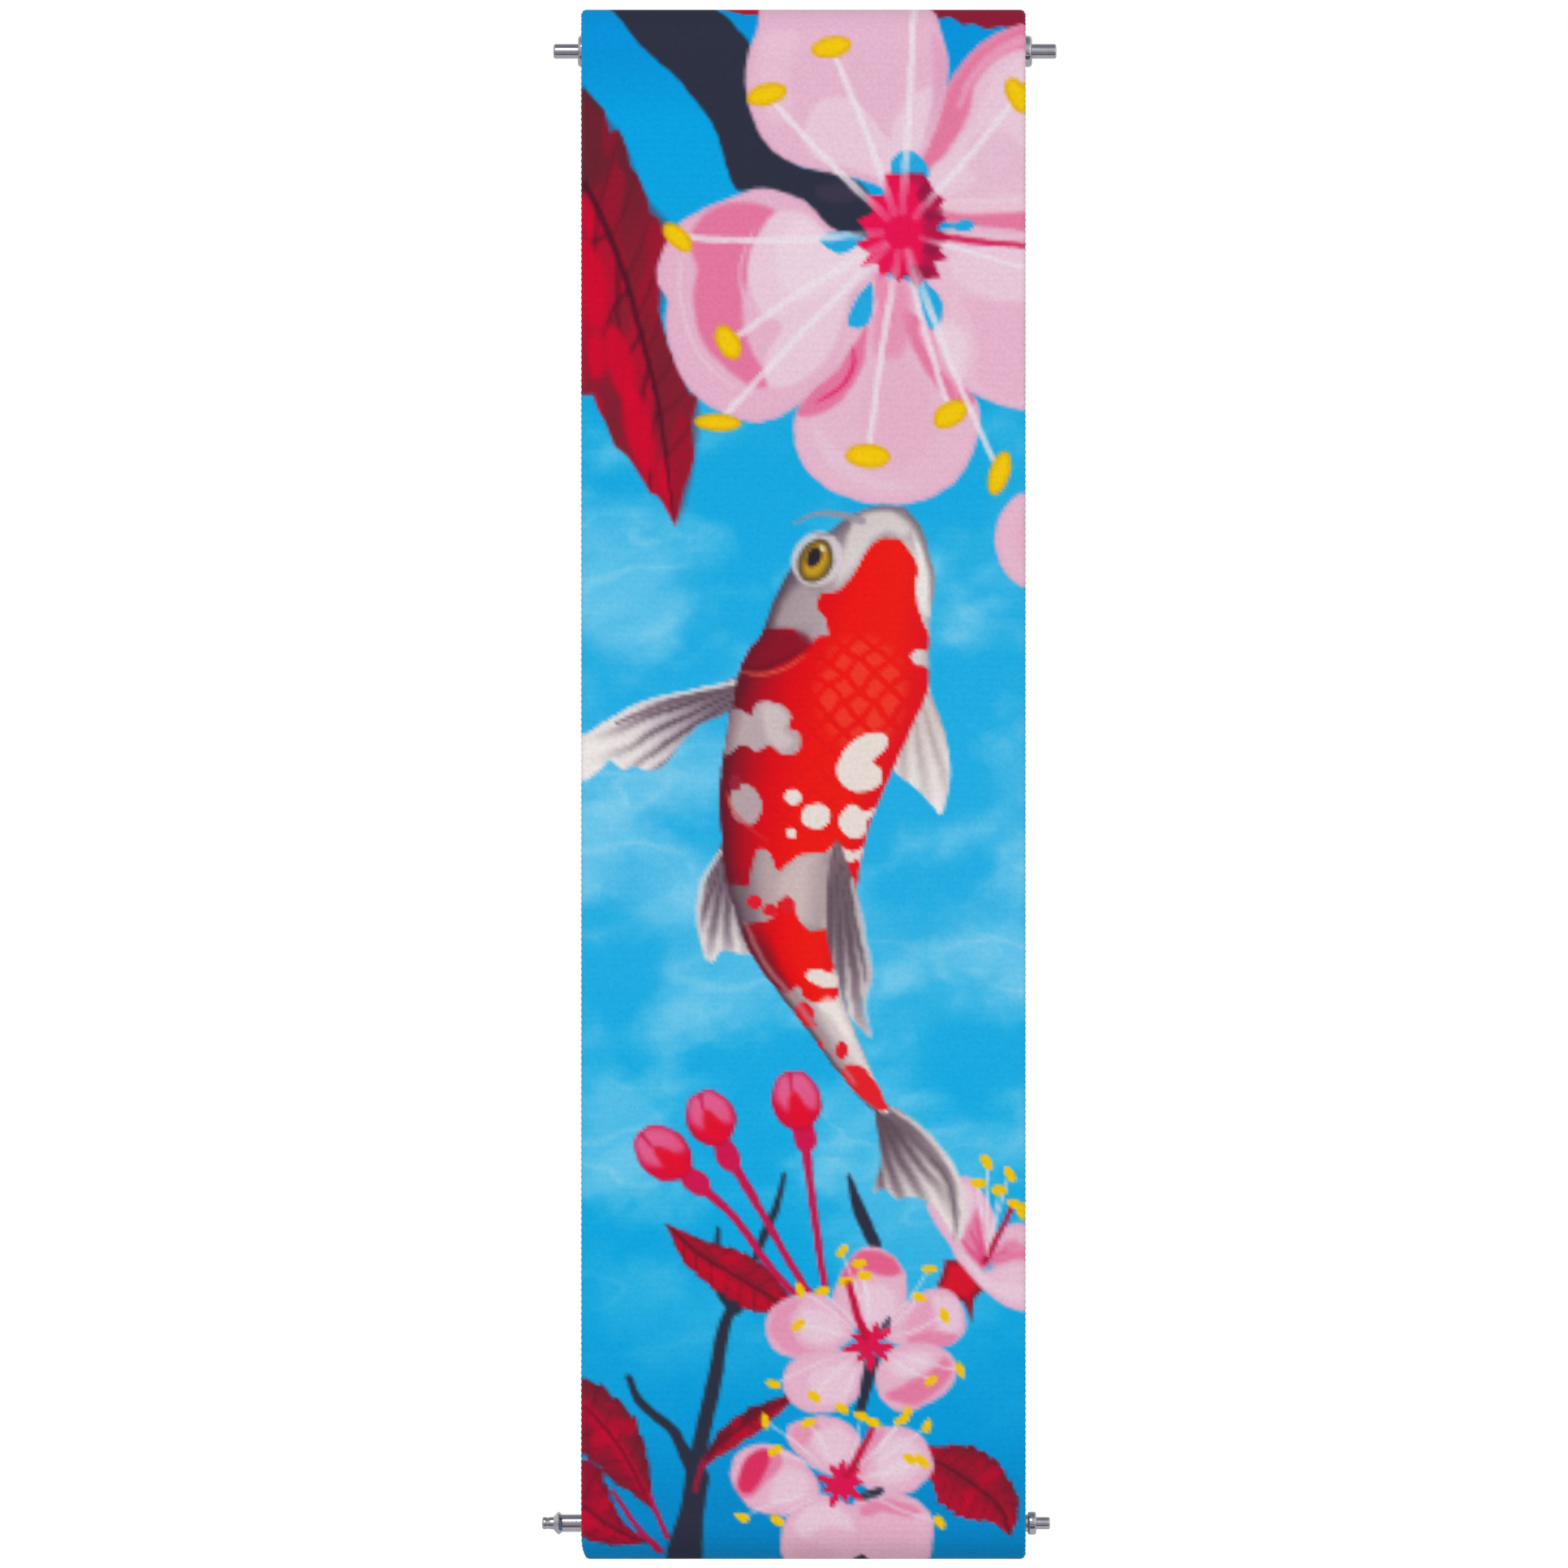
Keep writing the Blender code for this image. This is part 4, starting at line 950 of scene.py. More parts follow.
for place, long, wide, tilt in [((-2.8, 48.7), 0.9, 0.8, 0), ((-1.9, 49.2), 0.8, 0.7, 0),
    ((-0.9, 48.9), 0.8, 1.0, 0), ((0.0, 55.1), 1.1, 1.35, 0),
                                ((0.9, 56.9), 0.6, 0.5, 40), ((2.2, 57.2), 0.7, 1.0, -10),
                                    ((1.7, 58.3), 0.5, 0.4, 0), ((0.5, 55.7), 0.5, 0.4, 20)]:
    on_koi(oval(place, long, wide, tilt), "#DE1B2C")
on_koi([(1.4, 54.1), (2.0, 54.7), (2.8, 56.5), (2.3, 56.3), (1.7, 55.4), (0.9, 54.7)], "#EEE6E2", soft=0.4,
    amount=0.8)
stroke([(-3.3, 50.0), (-2.1, 52.4), (-0.2, 54.7), (1.4, 57.0), (2.9, 59.1)], [0.2, 0.3, 0.3, 0.3, 0.2],
    "#C49A9C", soft=0.3, amount=0.55)

print("red marks painted")
# %% Shade of the turned side, and a light back
koi_x = over[koi_area]
lay(koi_area, "#4A1B2A", 0.35 * koi_cover * rise(koi_x, 0.09, 0.0) * rise(PD[koi_area], 30, 33))
lay(koi_area, "#4A3E4C", 0.4 * koi_cover * rise(koi_deep, 0.5, 0.0) * rise(PD[koi_area], 33, 30))
print("body shaded")
# %% Pelvic fin over the body
fin([(1.9, 45.2), (2.6, 46.7), (3.1, 48.4), (3.3, 50.0), (3.6, 51.7), (3.9, 53.1), (3.3, 54.6),
    (3.9, 56.4), (3.0, 55.7), (2.4, 54.7), (1.9, 52.8), (1.4, 51.0), (1.3, 48.7), (1.5, 46.6)],
    (1.8, 44.5), [(0.0, "#8E7079"), (0.25, "#6F5C67"), (0.55, "#6D5B66"), (0.8, "#9A8A94"),
        (1.0, "#C8BCC2")], 12, rays=70, dark="#5A4955", amount=0.5)
stroke([(2.8, 47.5), (3.3, 50.0), (3.8, 52.8), (3.5, 54.6), (3.9, 56.2)], [0.2, 0.4, 0.4, 0.3, 0.1],
    "#CFC6CB", soft=0.25, amount=0.8)

print("pelvic fin painted")
# %% Eye and barbels
fill(oval((0.8, 29.1), 2.88, 3.25, 30), "#D5CDD1", soft=0.3, amount=0.9)
fill(oval((0.7, 29.2), 1.95, 2.60, 22), "#5C4B31")
fill(oval((0.7, 29.2), 1.58, 2.23, 22), "#B78F22", shade=lambda x, d,
    deep: mixed("#8A6A22", "#C79B22", rise(deep, 0.0, 0.4)))
fill(oval((0.6, 29.0), 0.79, 1.21, 22), "#2B2430")
fill(oval((1.1, 28.5), 0.33, 0.33), "#EDE6D2", soft=0.2, amount=0.8)
stroke([(3.3, 26.9), (2.1, 26.6), (0.7, 26.5), (-0.6, 27.1)], [0.5, 0.36, 0.22, 0.1], "#9C909D", amount=0.9)
stroke([(2.6, 27.3), (1.4, 27.7), (0.5, 27.6)], [0.3, 0.22, 0.1], "#7D6F7C", amount=0.6)
print("koi painted")

# %% [markdown]
# ## Printed picture: twigs, leaves and buds
# Below the fish a thin trunk forks upwards. Leaves hang from it, and three buds stand on long stems that
# meet behind the small blossoms.
# %% Twigs and trunk
stroke([(-1.1, 64.3), (-1.6, 66.3), (-2.3, 67.9), (-2.8, 69.2)], [0.2, 0.4, 0.5, 0.4], BARK)
stroke([(2.6, 64.4), (3.0, 65.8), (3.5, 67.0), (4.1, 68.3)], [0.25, 0.6, 0.75, 0.7], BARK)
stroke([(-4.9, 67.4), (-4.9, 69.1), (-4.6, 70.9), (-3.9, 71.9)], [0.2, 0.5, 0.8, 0.9], BARK)
stroke([(-3.9, 71.4), (-4.6, 73.3), (-5.1, 76.1), (-5.7, 78.8), (-6.2, 81.3), (-6.5, 83.5), (-7.1, 85.4),
    (-7.5, 88.2), (-7.8, 95.8)], [0.6, 0.8, 0.85, 0.95, 1.1, 1.15, 1.2, 1.3, 1.5], BARK)
stroke([(-5.9, 81.6), (-6.4, 83.9), (-6.7, 87.7)], [1.0, 1.5, 1.7], BARK)
stroke([(-10.0, 75.9), (-9.5, 77.1), (-8.6, 78.0), (-7.5, 78.9), (-6.9, 80.0), (-6.3, 81.3)],
    [0.35, 0.5, 0.5, 0.55, 0.7, 0.8], BARK)
stroke([(3.9, 75.1), (3.5, 76.7), (3.1, 78.1)], [0.9, 0.6, 0.4], BARK)
print("trunk painted")
# %% Leaves
leaf([(-7.9, 67.1), (-5.9, 68.9), (-3.9, 70.1), (-2.1, 71.2), (-0.7, 72.2)],
    [(0.0, 0.0), (0.95, 0.8), (1.35, 1.45), (1.4, 1.4), (0.4, 0.5)], 9,
     [(-1, "#A8102C"), (-0.4, "#C00D2C"), (0.1, "#8A1A2E"), (0.5, "#A8122E"), (1, "#8A1A2E")], lean=0.5)
leaf([(-14.4, 76.1), (-12.4, 77.7), (-10.9, 79.4), (-9.7, 81.3), (-8.7, 83.3)],
    [(1.0, 1.0), (1.7, 1.6), (2.0, 1.8), (1.4, 1.1), (0.1, 0.1)], 8,
     [(-1, "#7E1A30"), (-0.35, "#9A1230"), (0.0, "#C40A32"), (0.35, "#8A1A30"), (1, "#6E1E30")], lean=-0.5)
leaf([(-14.4, 81.4), (-12.7, 83.1), (-11.4, 84.2), (-10.2, 84.9), (-9.0, 85.4)],
    [(1.2, 1.6), (1.7, 2.4), (1.6, 1.5), (1.1, 0.6), (0.1, 0.1)], 7,
     [(-1, "#8A1430"), (-0.3, "#B80C32"), (0.1, "#A01030"), (1, "#8A1430")], lean=-0.5)
leaf([(-5.9, 81.1), (-4.5, 79.5), (-2.8, 78.3), (-0.9, 77.2)],
    [(0.1, 0.1), (0.75, 0.6), (0.8, 0.75), (0.25, 0.3)], 6,
     [(-1, "#B3152E"), (0, "#A0122E"), (0.2, "#6A1A2C"), (1, "#5E1A2A")], lean=0.3)
leaf([(7.3, 80.6), (8.7, 81.3), (10.3, 82.5), (11.4, 83.6), (11.8, 84.9)],
    [(0.8, 0.8), (2.1, 1.9), (2.1, 2.0), (1.3, 1.3), (0.1, 0.1)], 9,
     [(-1, "#B01030"), (-0.4, "#A5122E"), (0.0, "#7E1A2C"), (0.3, "#A0142E"), (1, "#7A1A2E")], lean=0.6)
STEM = "#C4154E"
stroke([(-8.8, 82.7), (-8.3, 83.9), (-7.8, 85.1)], [0.3, 0.3, 0.3], "#B5164A")
stroke([(-10.9, 82.4), (-10.0, 83.8), (-8.9, 85.2), (-8.3, 86.1)], [0.24, 0.3, 0.3, 0.3], "#B5164A")
stroke([(-9.4, 84.9), (-8.6, 85.4), (-8.1, 86.1)], [0.2, 0.26, 0.26], "#B5164A")
stroke([(-5.7, 80.7), (-6.0, 81.5), (-6.2, 82.4)], [0.3, 0.3, 0.3], "#9A1A3C")
print("leaves painted")
# %% Buds
def bud(centre, cup, long, wide, stem):
    """A closed flower: a pale outer petal, a crimson inner one and its cup, on a long stem."""
    c, u = np.array(centre), np.array(cup) - centre
    u = u / np.hypot(*u)
    v = np.array([-u[1], u[0]])
    tilt = math.degrees(math.atan2(u[1], u[0]))
    stroke([cup, *stem], [0.56, 0.44, 0.4, 0.38][: 1 + len(stem)], STEM)
    fill(oval(np.array(cup) - 0.1 * u, 2.0, 1.3, tilt), "#CE1650")
    egg = [(-0.5, 0), (-0.42, 0.3), (-0.1, 0.5), (0.22, 0.46), (0.46, 0.2), (0.5, 0), (0.46, -0.2),
        (0.22, -0.46), (-0.1, -0.5), (-0.42, -0.3)]
    shape = [tuple(c + a * long * u + b * wide * v) for a, b in egg]
    fill(shape, "#D8113F", shade=lambda x, d, deep: mixed(
        mixed("#DC0C38", "#D92A66", rise((x - c[0]) * u[0] + (d - c[1]) * u[1], 0.4, -0.9)), "#B00A3C",
            0.6 * rise(deep, 0.3, 0.0)))
    pale = [tuple(c + a * long * u + b * wide * v) for a, b in [(-0.47, -0.05), (-0.4, 0.27), (-0.1, 0.38),
        (0.12, 0.22), (-0.08, 0.05), (0.1, -0.1), (0.2, -0.36), (-0.1, -0.44), (-0.38, -0.27)]]
    fill(pale, "#E2709C", soft=0.6, amount=0.75)
    heart = [tuple(c + a * long * u + b * wide * v) for a, b in [(-0.18, 0.02), (0.1, 0.2), (0.36, 0.12),
        (0.4, -0.08), (0.12, -0.16)]]
    fill(heart, "#E30D2C", soft=0.3, amount=0.85)
    stroke([tuple(c - 0.46 * long * u), tuple(c - 0.2 * long * u + 0.06 * wide * v)], [0.24, 0.12],
        "#C8104C", amount=0.8)

for centre, cup, long, wide, stem in [
    ((-8.0, 63.1), (-6.1, 64.8), 3.62, 2.79, [(-3.9, 66.8), (-1.9, 69.6), (-0.2, 71.4)]),
    ((-5.3, 61.1), (-4.3, 63.3), 3.25, 2.79, [(-3.0, 65.4), (-1.2, 68.6), (0.5, 71.4)]),
    ((-0.4, 60.1), (0.1, 62.2), 3.44, 2.79, [(0.3, 64.0), (0.7, 67.2), (1.2, 70.7)]),
]:
    bud(centre, cup, long, wide, stem)
print("twigs, leaves and buds painted")

# %% [markdown]
# ## Printed picture: small blossoms
# The two small blossoms have the big one's make at a third of its size: five petals that nearly touch, a
# ragged star, fine filaments and anthers. Only the deeper pink folds differ from petal to petal.
# %% Petals of the upper small blossom
FOLD = 0.4
petal([(1.7, 71.2), (2.5, 69.4), (3.6, 68.4), (5.0, 68.8), (5.8, 69.9), (5.9, 71.4), (5.4, 72.8),
    (4.2, 73.3), (3.0, 73.1), (2.1, 72.3)],
      lobes=[([(2.2, 70.0), (3.3, 68.7), (4.9, 68.9), (5.6, 69.9), (4.6, 70.1), (3.3, 69.8), (2.6, 70.6)],
          "#E2527F", FOLD, 0.85),
             ([(3.3, 70.9), (4.4, 70.6), (5.3, 71.4), (4.9, 72.6), (3.7, 72.6)], PALE, 0.5, 0.9)])
petal([(4.7, 73.6), (5.5, 72.0), (7.1, 70.9), (8.5, 71.0), (9.2, 72.1), (9.2, 73.3), (8.3, 74.1),
    (6.5, 74.2), (5.3, 74.0)],
      lobes=[([(5.7, 73.3), (6.5, 71.9), (7.4, 71.4), (7.9, 72.3), (7.2, 73.5), (6.3, 73.8)], "#E59CBC",
          FOLD, 0.8), ([(7.4, 71.4), (8.8, 71.6), (8.9, 73.0), (8.0, 73.5)], PALE, 0.5, 0.8),
             ([(6.0, 73.7), (7.4, 73.3), (8.8, 73.5), (8.1, 74.2), (6.5, 74.3)], MID, 0.3, 0.7)])
petal([(2.9, 73.3), (2.1, 71.8), (0.7, 71.1), (-1.0, 71.4), (-2.1, 72.4), (-2.1, 73.5), (-1.4, 74.6),
    (0.5, 74.8), (2.1, 74.2)],
      lobes=[([(-1.9, 73.3), (-1.5, 71.9), (-0.2, 71.5), (-0.7, 72.6), (-0.2, 74.0), (0.9, 74.4),
          (-0.7, 74.6)], "#E28FB2", FOLD, 0.8), ([(0.0, 72.0), (1.6, 72.3), (2.3, 73.4), (0.9, 74.0),
          (-0.2, 73.3)], PALE, 0.5, 0.9)])
petal([(3.3, 74.6), (1.9, 74.3), (0.5, 74.4), (-0.8, 75.1), (-1.2, 76.3), (-0.6, 77.5), (1.0, 78.0),
    (2.6, 77.5), (3.5, 76.3)],
      lobes=[([(-0.2, 75.0), (1.2, 74.6), (2.1, 75.6), (1.2, 76.6), (-0.1, 76.3)], "#E6AFC9", FOLD, 0.8),
          ([(0.5, 75.6), (2.6, 75.1), (3.0, 76.3), (1.9, 77.4), (0.5, 77.2)], PALE, 0.5, 0.8)])
petal([(4.3, 75.1), (5.1, 74.2), (6.7, 73.9), (8.1, 74.3), (8.8, 75.4), (8.3, 76.6), (7.0, 77.5),
    (5.5, 77.9), (4.5, 77.2), (4.1, 76.1)],
      lobes=[([(4.7, 77.0), (5.8, 76.3), (7.2, 75.6), (8.1, 74.8), (8.5, 75.6), (7.7, 76.7), (6.3, 77.5)],
          MID, FOLD, 0.9), ([(4.9, 75.1), (6.5, 74.4), (7.4, 74.9), (5.8, 76.0)], PALE, 0.5, 0.9)])

print("upper small petals painted")
# %% Small stars and stamens
def small_star(centre, size, turn):
    """A ragged red star, with nine uneven spikes."""
    bearing = np.arctan2(PD - centre[1], PX - centre[0])
    far = np.hypot(PX - centre[0], PD - centre[1])
    reach = size * (0.68 + 0.2 * np.sin(9 * bearing + turn) + 0.14 * np.sin(5 * bearing - turn))
    picture[:] = mixed(picture, "#D9154F", rise(reach - far, -0.12, 0.12))

def small_stamens(centre, ends, size=(0.9, 0.5)):
    """Filaments from a star, and an anther on the end of each."""
    for x, d, tilt in ends:
        run = np.array([x, d]) - centre
        start = np.array(centre) + 0.25 * run
        bent_at = np.array(centre) + 0.6 * run + 0.15 * np.array([-run[1], run[0]]) / np.hypot(*run)
        stroke([start, bent_at, (x, d)], [0.18, 0.16, 0.16], FILAMENT, soft=0.22, amount=0.6, fade=0.4)
    for x, d, tilt in ends:
        fill(oval((x, d), *size, tilt), ANTHER, soft=0.16)

def ends(points, tilts):
    return [(*p, t) for p, t in zip(points, tilts)]
# %% Middle of the upper small blossom
stroke([(3.9, 74.9), (3.6, 76.3), (3.3, 77.8)], [0.55, 0.65, 0.45], BARK)
fill([(4.2, 73.5), (4.9, 72.4), (5.0, 73.1), (4.6, 73.7)], "#34354A", soft=0.2)
small_star((3.8, 74.0), 1.6, 0.6)
small_stamens((3.8, 74.0), ends([(-0.3, 72.9), (8.1, 72.4), (6.6, 71.3), (7.3, 76.1), (9.0, 75.5),
    (-1.7, 76.3), (0.6, 77.0), (2.2, 77.7)], [-40, 65, 30, -40, 70, 15, 35, 25]))
small_stamens((3.8, 74.0), ends([(2.2, 68.7), (3.2, 69.4), (3.5, 70.1), (2.4, 70.4), (1.1, 71.0),
    (-0.2, 70.9), (7.2, 69.7)], [-55, -8, 0, -8, -10, 80, 0]))
stroke([(3.5, 73.6), (3.0, 72.0), (2.6, 70.6)], [0.46, 0.4, 0.36], "#C2103F")
print("upper small blossom painted")
# %% Petals of the lower small blossom
petal([(1.9, 81.6), (0.5, 81.0), (-0.7, 79.9), (-0.9, 78.8), (0.0, 78.3), (1.4, 78.1), (2.8, 78.7),
    (3.3, 79.8), (2.8, 81.0)],
      lobes=[([(-0.7, 79.3), (-0.2, 78.5), (0.9, 78.5), (0.5, 79.4), (-0.2, 80.0)], "#E28FB2", FOLD, 0.8),
          ([(0.5, 79.3), (1.9, 78.7), (2.8, 79.5), (2.3, 80.7), (1.2, 80.7)], PALE, 0.5, 0.8)])
petal([(3.0, 81.7), (3.3, 80.0), (3.9, 78.9), (5.1, 78.7), (6.6, 79.1), (7.4, 80.5), (7.2, 81.6),
    (5.9, 82.6), (4.4, 82.6)],
      lobes=[([(3.2, 81.4), (3.3, 80.0), (4.1, 79.0), (4.7, 79.0), (4.1, 80.2), (3.5, 81.4)], "#E28FB2",
          FOLD, 0.85), ([(4.4, 79.8), (5.8, 79.4), (6.9, 80.5), (6.0, 81.7), (4.4, 81.9)], PALE, 0.5, 0.9)])
petal([(0.9, 82.1), (-0.2, 80.5), (-2.1, 79.7), (-3.6, 80.1), (-4.2, 81.4), (-3.6, 82.8), (-2.6, 83.6),
    (-0.9, 83.8), (0.5, 83.0)],
      lobes=[([(-3.9, 82.6), (-3.5, 80.9), (-2.6, 80.0), (-1.5, 80.2), (-1.2, 80.9), (-2.1, 81.9),
          (-3.0, 82.8)], MID, 0.3, 0.8), ([(-3.7, 82.2), (-3.3, 80.6), (-2.3, 80.0), (-1.9, 80.5),
          (-2.2, 81.4), (-3.0, 82.5)], "#DA2B5C", 0.3, 0.95),
             ([(-1.4, 81.4), (-0.2, 81.3), (0.4, 82.2), (-0.7, 83.1), (-1.9, 83.0)], PALE, 0.5, 0.8)])
petal([(2.9, 83.0), (4.4, 82.6), (6.0, 82.7), (7.3, 83.7), (7.4, 85.1), (7.0, 87.7), (5.1, 89.3),
    (3.3, 87.7), (2.7, 84.6)],
      lobes=[([(3.3, 83.3), (4.9, 82.9), (6.7, 83.5), (6.0, 83.9), (4.6, 83.6), (3.5, 83.9)], "#E07AA2",
          FOLD, 0.8), ([(3.5, 84.2), (5.1, 84.0), (6.5, 84.9), (5.1, 86.4), (3.7, 85.7)], "#E2AFC8", 0.6,
          0.8)])
petal([(2.3, 83.0), (0.8, 82.6), (-0.6, 83.5), (-1.3, 85.0), (-1.0, 87.7), (0.5, 89.3), (2.6, 87.9),
    (3.3, 84.9), (3.1, 83.6)],
      lobes=[([(-0.5, 84.2), (0.7, 83.1), (2.3, 83.6), (2.8, 84.6), (1.4, 84.4), (0.0, 85.1)], PALE, 0.5,
          0.9), ([(-0.7, 85.7), (0.5, 85.4), (2.1, 86.4), (0.5, 88.2)], "#E0A8C3", 0.6, 0.7)])
fill([(2.8, 87.9), (3.3, 86.4), (3.9, 87.5), (4.4, 88.4), (3.7, 89.3)], BARK, soft=0.2)
print("lower small petals painted")
# %% Middle of the lower small blossom
fill([(3.3, 82.6), (4.2, 82.2), (4.6, 82.4), (4.2, 82.8), (3.5, 82.9)], "#34354A", soft=0.2)
stroke([(2.8, 81.3), (3.0, 80.7)], [0.5, 0.3], "#34354A")
small_star((2.2, 82.0), 1.5, 2.2)
small_stamens((2.2, 82.0), ends([(0.3, 78.5), (-2.2, 78.4), (7.1, 78.7), (-1.6, 80.1), (6.1, 80.6),
    (6.8, 80.7), (5.9, 78.0), (5.6, 78.4)], [-20, 80, -75, -35, 25, 40, -55, -20]))
small_stamens((2.2, 82.0), ends([(-3.5, 83.9), (-1.5, 84.1), (7.8, 84.2), (3.3, 78.1), (4.0, 78.5)],
    [22, 30, 62, 20, 20]))
stroke([(2.5, 81.5), (3.1, 80.5), (3.9, 78.9)], [0.42, 0.36, 0.3], "#C2103F")
print("small blossoms painted")

# %% [markdown]
# ## Dyeing the webbing
# The face takes the picture. The dye gives out over the selvedge, and the back stays the off-white of the
# yarn. The colours go into an attribute of the mesh, in linear numbers.
# %% Colours on the mesh
# Painted sheen: a pale speckled line along the crest of the lower fold, where the face turns away from the
# front, is laid over the picture.
crest = np.exp(-(((PD - 87.45) / 0.14) ** 2))
picture[:] = mixed(picture, "#DDE3E8", 0.6 * crest * rise(clouds(PX, PD * 0.6, 0.45, 95, 2), 0.4, 0.65))
YARN = "#E9E6E1"
dye = np.tile(to_linear(code(YARN)), (rows, around, 1))
dye[:, : len(face_x)] = to_linear(picture)
for n, share in enumerate((0.05, 0.15, 0.35, 0.7)):
    dye[:, len(face_x) + n] = to_linear(mixed(picture[:, -1], YARN, share * np.ones(rows)))
    dye[:, -1 - n] = to_linear(mixed(picture[:, 0], YARN, share * np.ones(rows)))
store = strap_mesh.attributes.new("dye", "FLOAT_COLOR", "POINT")
full = np.ones((rows * around, 4), np.float32)
full[:, :3] = np.clip(dye.reshape(-1, 3), 0, 1)
store.data.foreach_set("color", full.ravel())
print("dyed", rows * around, "corners")
# %% Where a place is on the flat webbing
place = strap_mesh.attributes.new("cloth", "FLOAT_VECTOR", "POINT")
where = band.copy()
where[..., 1] = down[:, None]
place.data.foreach_set("vector", where.reshape(-1, 3).astype(np.float32).ravel())
print("printed side runs from", down.min().round(1), "to", down.max().round(1), "mm")

# %% [markdown]
# ## Folding it over the bars
# Geometry Nodes lay the flat band along the path: each point's distance along the band picks a place on the
# path, and its height over the middle is measured square to it. The same tree folds the selvedge loops.
# %% Folding tree
def fold_tree(name):
    """A tree that lays flat geometry along a path: y is the distance along it, and z the height over it."""
    tree = bpy.data.node_groups.new(name, "GeometryNodeTree")
    face = tree.interface
    face.new_socket("Flat", in_out="INPUT", socket_type="NodeSocketGeometry")
    face.new_socket("Path", in_out="INPUT", socket_type="NodeSocketObject")
    face.new_socket("Finish", in_out="INPUT", socket_type="NodeSocketMaterial")
    face.new_socket("Folded", in_out="OUTPUT", socket_type="NodeSocketGeometry")
    given = tree.nodes.new("NodeGroupInput")
    return tree, given

def fold(tree, flat, path, finish):
    """The nodes that fold flat geometry along the path, and give it its finish."""
    line = add(tree, "GeometryNodeObjectInfo", {"transform_space": "RELATIVE"}, Object=path)
    at = add(tree, "GeometryNodeInputPosition").outputs[0]
    parts = add(tree, "ShaderNodeSeparateXYZ", Vector=at).outputs
    sample = add(tree, "GeometryNodeSampleCurve", {"mode": "LENGTH", "use_all_curves": True})
    tree.links.new(line.outputs["Geometry"], sample.inputs["Curves"])
    tree.links.new(parts["Y"], sample.inputs["Length"])
    square = add(tree, "ShaderNodeVectorMath", {"operation": "CROSS_PRODUCT"},
        i0=sample.outputs["Tangent"], i1=(1, 0, 0))
    unit = add(tree, "ShaderNodeVectorMath", {"operation": "NORMALIZE"}, i0=square.outputs[0])
    raised = add(tree, "ShaderNodeVectorMath", {"operation": "SCALE"}, i0=unit.outputs[0], Scale=parts["Z"])
    sideways = add(tree, "ShaderNodeCombineXYZ", X=parts["X"]).outputs[0]
    one = add(tree, "ShaderNodeVectorMath", i0=sample.outputs["Position"], i1=raised.outputs[0])
    two = add(tree, "ShaderNodeVectorMath", i0=one.outputs[0], i1=sideways)
    moved = add(tree, "GeometryNodeSetPosition", Geometry=flat, Position=two.outputs[0])
    real = add(tree, "GeometryNodeRealizeInstances", Geometry=moved.outputs[0])
    done = add(tree, "GeometryNodeSetMaterial", Geometry=real.outputs[0], Material=finish)
    out = tree.nodes.new("NodeGroupOutput")
    tree.links.new(done.outputs[0], out.inputs[0])

print("folding tree ready")
# %% Turning a tree into a plain mesh
def built(name, mesh, tree, **inputs):
    """A plain mesh object, from a mesh and a tree with its inputs set."""
    helper = bpy.data.objects.new(name + "_source", mesh)
    scene.collection.objects.link(helper)
    modifier = helper.modifiers.new("nodes", "NODES")
    modifier.node_group = tree
    sockets = {s.name: s.identifier for s in tree.interface.items_tree if s.in_out == "INPUT"}
    for label, value in inputs.items():
        modifier[sockets[label.replace("_", " ")]] = value
    bpy.context.view_layer.update()
    graph = bpy.context.evaluated_depsgraph_get()
    plain = bpy.data.meshes.new_from_object(helper.evaluated_get(graph))
    plain.name = name
    bpy.data.objects.remove(helper)
    made = bpy.data.objects.new(name, plain)
    scene.collection.objects.link(made)
    print(name, len(plain.vertices), "points", sum(len(p.vertices) - 2 for p in plain.polygons), "triangles")
    return made

# %% [markdown]
# ## Finish of the webbing
# Dyed polyester webbing is matt, with fine cross ribs, and short fibres on it scatter the light. The
# dye sinks in unevenly, which leaves a fine grain in every colour.
# %% Printed webbing
webbing_paint, tree, shader = material("dye_printed_polyester_webbing")
dyed = add(tree, "ShaderNodeAttribute", {"attribute_name": "dye"}).outputs["Color"]
cloth = add(tree, "ShaderNodeAttribute", {"attribute_name": "cloth"}).outputs["Vector"]
grain = add(tree, "ShaderNodeTexNoise", Vector=cloth, Scale=4.5, Detail=3.0, Roughness=0.7).outputs["Fac"]
tone = add(tree, "ShaderNodeMapRange", Value=grain, From_Min=0.3, From_Max=0.7, To_Min=0.93,
    To_Max=1.05).outputs[0]
tint = add(tree, "ShaderNodeVectorMath", {"operation": "SCALE"}, i0=dyed, Scale=tone).outputs[0]
tree.links.new(tint, shader.inputs["Base Color"])
parts = add(tree, "ShaderNodeSeparateXYZ", Vector=cloth).outputs
RIB = 0.4
turns = add(tree, "ShaderNodeMath", {"operation": "MULTIPLY"}, i0=parts["Y"], i1=2 * math.pi / RIB).outputs[0]
ribs = add(tree, "ShaderNodeMath", {"operation": "SINE"}, i0=turns).outputs[0]
fuzz = add(tree, "ShaderNodeTexNoise", Vector=cloth, Scale=5.5, Detail=2.0).outputs["Fac"]
relief = add(tree, "ShaderNodeMath", {"operation": "MULTIPLY_ADD"}, i0=fuzz, i1=9.0, i2=ribs).outputs[0]
bump = add(tree, "ShaderNodeBump", Height=relief, Strength=0.25, Distance=0.00002)
tree.links.new(bump.outputs[0], shader.inputs["Normal"])
shader.inputs["Roughness"].default_value = 0.85
shader.inputs["Specular IOR Level"].default_value = 0.08
print("ribs", RIB, "mm apart")
